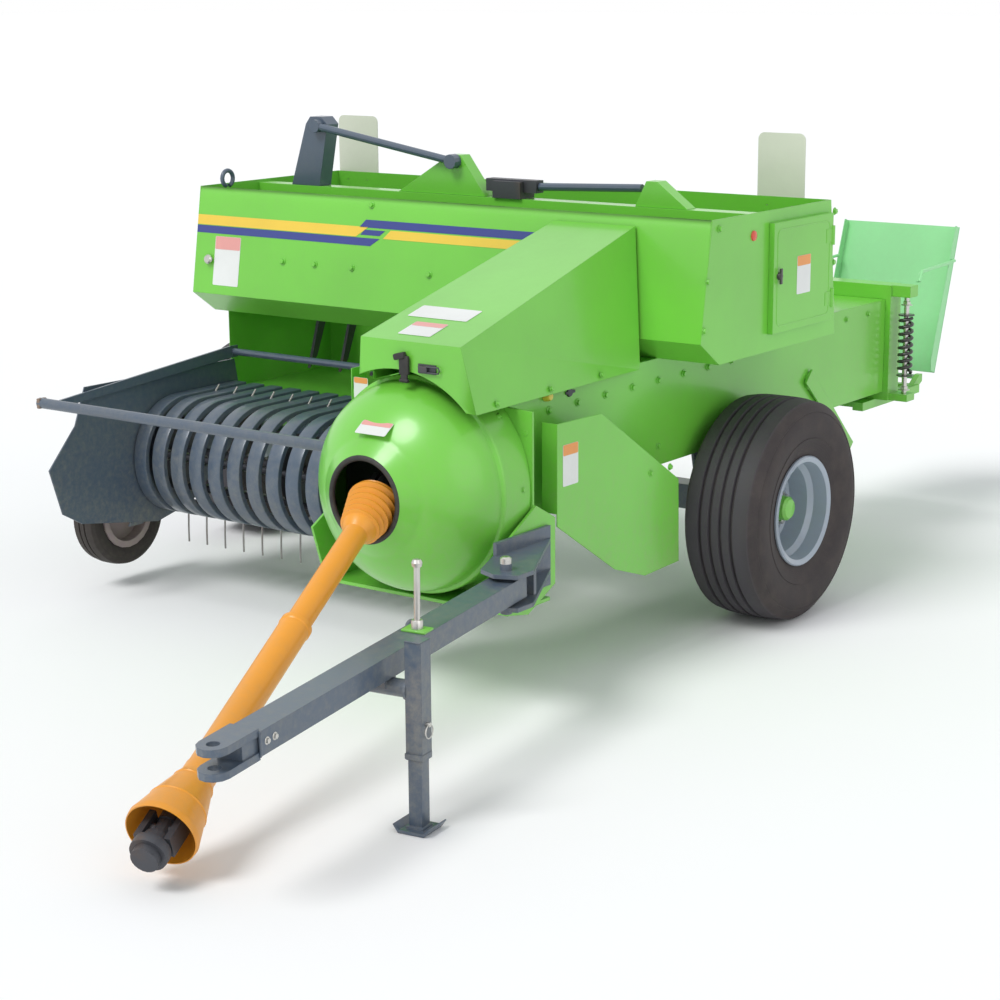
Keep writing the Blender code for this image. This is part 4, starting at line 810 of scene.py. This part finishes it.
def trough_fittings():
    """A knob, a lifting eye and a round reflector."""
    work = bmesh.new()
    place = facing(on_fascia(-1.518, 1.058), FASCIA_LEAN)
    knob = [(0, 0.020), (0.012, 0.019), (0.016, 0.014), (0.016, 0.009), (0.009, 0.006), (0.009, 0), (0, 0)]
    turn(work, knob, place, 28)
    piece("trough_knob", work, zinc, "frame")
    work = bmesh.new()
    angles = [tau * k / 20 for k in range(-4, 15)]
    ring = [at(-1.488, -0.452 + 0.026 * cos(a), 1.328 + 0.026 * sin(a)) for a in angles]
    bent_bar(work, ring, 0.0075, 12)
    piece("lifting_eye", work, slate, "frame")
    work = bmesh.new()
    place = facing(at(0.4363, -0.242, 1.233), (1, 0, 0))
    turn(work, [(0, 0.007), (0.010, 0.0062), (0.0145, 0.004), (0.016, 0), (0, 0)], place, 32)
    red = painted("red_reflector", (0.72, 0.07, 0.025, 1), rough=0.2, coat=0.6, dirt=0.1, edge=0.0005)
    piece("end_reflector", work, red, "frame")


trough_fittings()
door_low, door_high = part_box("twine_door")
door_low, door_high = door_low - MACHINE, door_high - MACHINE
DOOR_FACE = door_high.x
door_spot = at(DOOR_FACE + 0.0002, 0.038, 1.09)
blank_plate("door_plate", door_spot, (1, 0, 0), (0.085, 0.118), "twine_door", vinyl_orange)


def door_fittings():
    """Two hinge knuckles on the rear edge, and a turn latch on the front one."""
    work = bmesh.new()
    for z in (door_low.z + 0.07, door_high.z - 0.07):
        place = Matrix.Translation(at(DOOR_FACE - 0.002, door_high.y, z))
        turn(work, [(0, -0.03), (0.008, -0.03), (0.008, 0.03), (0, 0.03)], place, 20)
        slab(work, (-0.001, -0.045, -0.022), (0.003, -0.002, 0.022), 0.001, place)
    piece("door_hinges", work, green, "twine_door")
    work = bmesh.new()
    place = facing(at(DOOR_FACE, door_low.y + 0.03, 1.10), (1, 0, 0))
    turn(work, [(0, 0.010), (0.010, 0.010), (0.012, 0.007), (0.012, 0), (0, 0)], place, 24)
    slab(work, (-0.006, -0.024, 0.006), (0.006, 0.024, 0.012), 0.002, place)
    piece("door_latch", work, blackened, "twine_door")
    work = bmesh.new()
    inset, lip = 0.022, 0.006
    place = facing(at(DOOR_FACE, (door_low.y + door_high.y) / 2, (door_low.z + door_high.z) / 2), (1, 0, 0))
    width, height = door_high.y - door_low.y - 2 * inset, door_high.z - door_low.z - 2 * inset
    rounded = rounded_outline(width, height, 0.02, 6)
    route = [place @ Vector((u, v, -0.0015)) for u, v in [*rounded, rounded[0]]]
    bent_bar(work, route, lip / 2, 8)
    piece("door_pressing", work, green, "twine_door")


door_fittings()

# The marker plates at the back of the trough are thin cream sheets, each held by two bolts.
cream = painted("cream_plastic", (0.70, 0.73, 0.60, 1), rough=0.30, coat=0.3, dirt=0.2, edge=0.0006)
for side in ("left", "right"):
    low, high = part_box(f"marker_plate_{side}")
    middle = (low + high) / 2
    work = bmesh.new()
    place = facing((middle.x, high.y, middle.z), (0, -1, 0)) @ Matrix.Translation((0, 0, -0.0002))
    outline = rounded_outline(high.x - low.x, high.z - low.z, 0.022, 6)
    flat_plate(work, outline, place, (high.y - low.y) * 0.98)
    piece(f"cream_marker_{side}", work, cream, "frame", [f"marker_plate_{side}"])
    spots = [Vector((middle.x + dx, low.y, 1.275)) for dx in (-0.045, 0.045)]
    bolts_at(f"marker_bolts_{side}", spots, (0, -1, 0), "frame", 0.013, zinc)

# The pickup. Its bands are sheet channels bent round the reel with open gaps for the tines, and the
# reel's bars carry thin sprung tines, which the cam on a real one lays back at the top and front.
bands_low, bands_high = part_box("pickup_bands")
reel_low, reel_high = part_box("tine_reel")
rear_edge = bands_high.y
REEL = Vector((0, at(0, -0.73, 0).y, at(0, 0, 0.43).z))
BAND_OUTER = bands_high.z - REEL.z
BANDS = 14
BAND_PITCH = (bands_high.x - bands_low.x) / BANDS
BAND_WIDTH = 0.054
BAND_START = bands_low.x + (BAND_PITCH - 0.018 - BAND_WIDTH) / 2


def stripper_bands():
    """The sheet channels, repeated across the pickup, and the two rails that carry them."""
    stations = [(cos(a), sin(a), 0) for a in (radians(286 - 196 * i / 48) for i in range(49))]
    stations += [(0, 1, share * (rear_edge - REEL.y - 0.002)) for share in (0.25, 0.5, 0.75, 1)]
    lip, sheet, round_off = 0.016, 0.0022, 0.003
    wide = BAND_WIDTH
    outer = [(0, -lip), (0, -round_off), (round_off * 0.3, -round_off * 0.3), (round_off, 0)]
    outer += [(wide - u, v) for u, v in reversed(outer)]
    inner = [(sheet, -lip), (sheet, -sheet - 0.001), (sheet + 0.001, -sheet)]
    inner += [(wide - u, v) for u, v in reversed(inner)]
    section = outer + list(reversed(inner))
    work = bmesh.new()
    rings = []
    for c, s, back in stations:
        ring = [(u, REEL.y + (BAND_OUTER + v) * c + back, REEL.z + (BAND_OUTER + v) * s) for u, v in section]
        rings.append([work.verts.new(point) for point in ring])
    for first, second in zip(rings, rings[1:]):
        for i in range(len(section)):
            j = (i + 1) % len(section)
            work.faces.new((first[i], first[j], second[j], second[i]))
    work.faces.new(list(reversed(rings[0])))
    work.faces.new(rings[-1])
    start = (BAND_START, 0, 0)
    bands = repeated("pickup_channels", work, slate, count=BANDS, step=(BAND_PITCH, 0, 0), start=start)
    settled(bands, "pickup", ["pickup_bands"])
    work = bmesh.new()
    near = (bands_low.x, rear_edge - 0.026, bands_high.z - 0.034)
    slab(work, near, (bands_high.x, rear_edge - 0.004, bands_high.z - 0.018), 0.002)
    low = radians(285)
    y, z = REEL.y + BAND_OUTER * cos(low), REEL.z + BAND_OUTER * sin(low)
    slab(work, (bands_low.x, y - 0.002, z + 0.001), (bands_high.x, y + 0.028, z + 0.012), 0.002)
    piece("band_rails", work, slate, "pickup")


COIL = 0.016


def tine_reel():
    """The reel: a shaft, three discs, four bars, and a row of sprung tines on each bar."""
    work = bmesh.new()
    across = sideways((reel_low.x, REEL.y, REEL.z), 1)
    length = reel_high.x - reel_low.x
    turn(work, [(0, 0.0005), (0.022, 0.0005), (0.022, length - 0.0005), (0, length - 0.0005)], across, 32)
    for u in (0.006, length / 2, length - 0.010):
        disc = [(0.02, u), (0.120, u), (0.124, u + 0.002), (0.120, u + 0.004), (0.02, u + 0.004)]
        turn(work, disc, across, 48)
    rows = ((262, 262, 0.188), (352, 350, 0.12), (82, 37, 0.165), (172, 222, 0.095))
    tines = []
    for bar_angle, tine_angle, reach in rows:
        a, b = radians(bar_angle), radians(tine_angle)
        bar = REEL + Vector((reel_low.x, 0.11 * cos(a), 0.11 * sin(a)))
        tine_bar = [(0, 0.004), (0.011, 0.004), (0.011, length - 0.004), (0, length - 0.004)]
        turn(work, tine_bar, sideways(bar, 1), 20)
        along, bend = Vector((0, cos(b), sin(b))), Vector((0, -sin(b), cos(b)))
        coil = [
            bar + Vector((0.001 * t - 0.006, COIL * cos(t * 1.05), COIL * sin(t * 1.05))) for t in range(13)
        ]
        foot = bar + Vector((0.006, 0, 0))
        leg = [
            foot + along * (COIL + (reach - COIL) * s) + bend * (0.014 * s * s - 0.004)
            for s in (0, 0.2, 0.45, 0.7, 0.88, 1)
        ]
        tines.append([*coil, *leg])
    piece("reel_bars", work, cast_iron, "tine_reel", ["tine_reel"])
    start = (BAND_START - reel_low.x + BAND_PITCH - (BAND_PITCH - BAND_WIDTH) / 2, 0, 0)
    for number, route in enumerate(tines):
        work = bmesh.new()
        bent_bar(work, route, 0.0031, 7)
        name, step = f"tine_row_{number + 1}", (BAND_PITCH, 0, 0)
        row = repeated(name, work, tine_wire, count=BANDS - 1, step=step, start=start)
        settled(row, "tine_reel")


tine_wire = bare_metal("tine_wire", (0.30, 0.29, 0.28, 1), rough=0.42, stain=0.5, metallic=0.8)
stripper_bands()
tine_reel()


def gauge_wheel():
    """A small ribbed tyre on a pressed rim, beside the pickup's right plate."""
    low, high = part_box("gauge_tyre")
    centre, radius = (low + high) / 2, (high.z - low.z) / 2
    work = bmesh.new()
    turn(work, tread_profile(radius, (high.x - low.x) / 2, 3, 0.006, 0.005, 0.095), sideways(centre, -1), 96)
    brown = painted("brown_rubber", (0.024, 0.018, 0.016, 1), rough=0.66, coat=0.0, dirt=0.12, edge=0.001)
    piece("gauge_ribbed_tyre", work, brown, "gauge_wheel", ["gauge_tyre"])


gauge_wheel()
# The gauge rim's pale pinkish colour is a painted highlight, with dust from the paint's dust mask on it.
rim_dust_and_painted_highlight = painted("rim_dust_and_painted_highlight", (0.32, 0.25, 0.26, 1), rough=0.5, coat=0.1, dirt=0.8)
dress(rim_dust_and_painted_highlight, "gauge_rim")


def pickup_sides():
    """A brown cap on the wind guard's right end, and bolts on the right plate."""
    low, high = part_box("wind_guard")
    place = sideways((low.x, low.y + 0.017, low.z + 0.017), 1)
    work = bmesh.new()
    slab(work, (-0.0165, -0.0165, 0.0005), (0.0165, 0.0165, 0.014), 0.003, place)
    brown = painted("brown_cap", (0.24, 0.17, 0.13, 1), rough=0.6, coat=0.0)
    piece("wind_guard_cap", work, brown, "wind_guard")
    places = ((-1.07, 0.47), (-0.86, 0.56), (-0.60, 0.60), (-0.73, 0.43))
    spots = [at(-1.5163, y, z) for y, z in places]
    bolts_at("pickup_plate_bolts", spots, (-1, 0, 0), "pickup", 0.016, slate)


pickup_sides()

# The drive shaft. Its ribbed orange guard is in two telescoping halves, with a flared cone over the
# front joint and a bellows at the machine's end.
ORANGE = (0.84, 0.335, 0.018, 1)
guard_plastic = painted("orange_guard", ORANGE, rough=0.42, coat=0.15, dirt=0.25, edge=0.0015)
SHAFT = (
    Matrix.Translation(at(0.0, -1.47, 0.625))
    @ Matrix.Rotation(radians(16.1), 4, "Z")
    @ Matrix.Rotation(radians(21.4 + 90), 4, "X")
)


def drive_guards():
    """The guard's two halves, and the collar of the front yoke."""
    ribs = []
    for i in range(6):
        radius, station = 0.0735 - 0.0042 * i, 0.052 + 0.0205 * i
        ribs += [(radius - 0.006, station), (radius + 0.003, station + 0.004)]
        ribs += [(radius + 0.0035, station + 0.010), (radius - 0.004, station + 0.014)]
    rear = [(0.066, 0.0455), (0.0725, 0.0455), *ribs, (0.046, 0.180), (0.0335, 0.198), (0.0335, 0.949)]
    rear += [(0.0305, 0.949), (0.0305, 0.192), (0.043, 0.172), (0.052, 0.12), (0.062, 0.066)]
    work = bmesh.new()
    turn(work, rear, SHAFT, 72)
    piece("guard_rear", work, guard_plastic, "drive_shaft", ["drive_guard_rear"], sharp=28)
    front = [(0.0385, 0.601), (0.0425, 0.601), (0.0428, 0.616), (0.0405, 0.620), (0.0405, 1.16)]
    front += [(0.0425, 1.165), (0.0428, 1.192), (0.050, 1.214), (0.0515, 1.216), (0.0500, 1.219)]
    front += [(0.0720, 1.296), (0.0737, 1.299), (0.0722, 1.303), (0.0880, 1.366), (0.0897, 1.371)]
    front += [(0.0878, 1.3845), (0.0850, 1.3845), (0.0852, 1.37), (0.070, 1.306), (0.048, 1.221)]
    front.append((0.0385, 1.195))
    work = bmesh.new()
    turn(work, front, SHAFT, 72)
    piece("guard_front", work, guard_plastic, "drive_front", ["drive_guard_front"], sharp=28)
    work = bmesh.new()
    nose = [(0.010, 1.4695), (0.030, 1.4695), (0.0335, 1.466), (0.0345, 1.455), (0.0345, 1.44), (0.010, 1.44)]
    turn(work, nose, SHAFT, 40)
    collar = [(0.034, 1.424), (0.0455, 1.4245), (0.0465, 1.430), (0.0465, 1.445), (0.0455, 1.451)]
    turn(work, [*collar, (0.034, 1.4515)], SHAFT, 48)
    piece("yoke_collar", work, cast_iron, "drive_yoke")


drive_guards()

# The drawbar. A square tube swings on an upright pin, with a forked hitch welded into its front end
# and a square telescopic jack pinned on its left side.
BAR_YAW, BAR_SLOPE = radians(7.4), radians(2.7)
JACK_REACH, JACK_SIDE = 0.63, 0.106
BAR = (
    Matrix.Translation(at(0.437, -1.50, 0.432))
    @ Matrix.Rotation(BAR_YAW, 4, "Z")
    @ Matrix.Rotation(BAR_SLOPE, 4, "X")
)
BAR_TURN = BAR.to_3x3().to_4x4()


def bar_point(distance, side, rise):
    """A point ahead of the pivot along the bar, across it, and above its middle."""
    return BAR @ Vector((side, -distance, rise))


def drawbar_fittings():
    """The pivot pin's head, clevis bolts and weld, a chain ring, and the latch rod on its base."""
    work = bmesh.new()
    top = Matrix.Translation(at(0.437, -1.50, 0.514))
    turn(work, [(0, 0.004), (0.010, 0.004), (0.0155, 0.0), (0.0155, -0.02), (0, -0.02)], top, 28)
    piece("pivot_pin_cap", work, zinc, "frame")
    work = bmesh.new()
    for side in (-0.0385, 0.0385):
        outward = 1 if side > 0 else -1
        for distance in (1.125, 1.155):
            hex_head(work, sideways((side * 1.04, -distance, 0), outward), 0.013, 0.006)
    bmesh.ops.transform(work, matrix=BAR, verts=work.verts)
    piece("clevis_bolts", work, zinc, "drawbar")
    work = bmesh.new()
    weld = [(1.181, u, v) for u, v in rounded_outline(0.080, 0.058, 0.004, 2)]
    bent_bar(work, [bar_point(*point) for point in [*weld, weld[0]]], 0.0035, 8)
    piece("clevis_weld", work, slate, "drawbar")
    work = bmesh.new()
    angles = [tau * k / 24 for k in range(25)]
    ring = [bar_point(0.40 + 0.02 * cos(a), -0.047 - 0.004 * sin(a), 0.006 + 0.02 * sin(a)) for a in angles]
    bent_bar(work, ring, 0.006, 10)
    piece("chain_ring", work, slate, "drawbar")
    work = bmesh.new()
    base = bar_point(0.46, 0.006, 0.029)
    slab(work, (-0.034, -0.022, 0), (0.034, 0.022, 0.006), 0.002, Matrix.Translation(base) @ BAR_TURN)
    piece("latch_base", work, green, "drawbar")
    work = bmesh.new()
    bent_bar(work, [base, base + Vector((0.002, 0, 0.17))], 0.008, 16)
    place = Matrix.Translation(base + Vector((0.002, 0, 0.168)))
    turn(work, [(0, 0.014), (0.010, 0.012), (0.014, 0.004), (0.012, -0.006), (0, -0.008)], place, 24)
    place = Matrix.Translation(base + Vector((0, 0, 0.006)))
    turn(work, [(0, 0.022), (0.013, 0.022), (0.015, 0.018), (0.015, 0), (0, 0)], place, 28)
    piece("latch_rod", work, zinc, "drawbar")


drawbar_fittings()


def jack_frame(height):
    """An upright frame on the jack's middle line, in line with the bar."""
    centre = bar_point(JACK_REACH, JACK_SIDE, 0)
    return Matrix.Translation((centre.x, centre.y, height)) @ Matrix.Rotation(BAR_YAW, 4, "Z")


def jack_leg():
    """The inner leg and its flat foot, whose two ends are turned up."""
    place = jack_frame(0)
    work = bmesh.new()
    slab(work, (-0.0185, -0.0185, 0.012), (0.0185, 0.0185, 0.398), 0.002, place)
    foot = [(-0.050, 0.020), (-0.036, 0.0005), (0.036, 0.0005), (0.050, 0.020), (0.048, 0.0225)]
    foot += [(0.034, 0.0085), (-0.034, 0.0085), (-0.048, 0.0225)]
    side_on = place @ Matrix.Translation((0, 0.042, 0)) @ Matrix.Rotation(pi / 2, 4, "X")
    flat_plate(work, foot, side_on, 0.084)
    slab(work, (-0.024, -0.024, 0.007), (0.024, 0.024, 0.014), 0.002, place)
    piece("jack_inner_leg", work, slate, "jack", ["jack_leg"])


jack_leg()


def jack_fittings():
    """The jack's pin with its ring clip, a welded collar, and a lid on the outer tube."""
    place = jack_frame(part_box("jack_outer_tube")[1].z)
    work = bmesh.new()
    slab(work, (-0.0225, -0.0225, -0.003), (0.0225, 0.0225, -0.0002), 0.001, place)
    slab(work, (-0.0240, -0.0240, -0.292), (0.0240, 0.0240, -0.278), 0.001, place)
    piece("jack_collars", work, slate, "jack")
    work = bmesh.new()
    cross = place @ Matrix.Translation((0, 0, -0.205))
    bent_bar(work, [cross @ Vector((x, 0, 0)) for x in (0.0215, 0.034)], 0.006, 14)
    angles = [tau * k / 20 for k in range(21)]
    loop = [cross @ Vector((0.031, 0.017 * cos(a), -0.017 + 0.017 * sin(a))) for a in angles]
    bent_bar(work, loop, 0.0016, 7)
    piece("jack_pin", work, zinc, "jack")


jack_fittings()

# The rear. Coil springs on screws press the chamber's rails together, and the chute is held by a bent
# rod on each side.
coil_black = painted("black_spring", (0.020, 0.020, 0.021, 1), rough=0.38, coat=0.2, dirt=0.4, edge=0.001)


def tension_spring(side):
    """A screw with two nuts, and the black coil between its two washers."""
    low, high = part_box(f"tension_spring_{side}")
    middle = (low + high) / 2
    place = Matrix.Translation((middle.x, middle.y, 0))
    work = bmesh.new()
    turn(work, [(0, low.z), (0.009, low.z), (0.009, high.z), (0, high.z)], place, 20)
    for z in (low.z + 0.012, high.z - 0.030):
        hex_head(work, place @ Matrix.Translation((0, 0, z)), 0.028, 0.014)
    piece(f"spring_screw_{side}", work, zinc, "frame", [f"tension_spring_{side}"])
    work = bmesh.new()
    bottom, top, turns, around = low.z + 0.075, high.z - 0.075, 8, 18
    steps = turns * around
    rise = (top - bottom) / steps
    angles = [tau * k / around for k in range(steps + 1)]
    around_axis = [(0.022 * cos(a), 0.022 * sin(a)) for a in angles]
    route = [place @ Vector((x, y, bottom + k * rise)) for k, (x, y) in enumerate(around_axis)]
    bent_bar(work, route, 0.0058, 10)
    for z in (bottom - 0.012, top + 0.008):
        turn(work, [(0.0095, z), (0.0285, z), (0.0285, z + 0.004), (0.0095, z + 0.004)], place, 32)
    piece(f"black_coil_{side}", work, coil_black, "frame")


for side in ("left", "right"):
    tension_spring(side)


def chute_stays():
    """The bent rod along each side of the chute."""
    work = bmesh.new()
    for x in (-0.222, 0.23):
        stay = ((1.555, 0.947), (1.45, 0.944), (1.330, 0.938), (1.312, 0.930), (1.302, 0.905))
        bent_bar(work, [at(x, y, z) for y, z in stay], 0.0055, 12)
    piece("chute_stays", work, mint, "chute")


chute_stays()
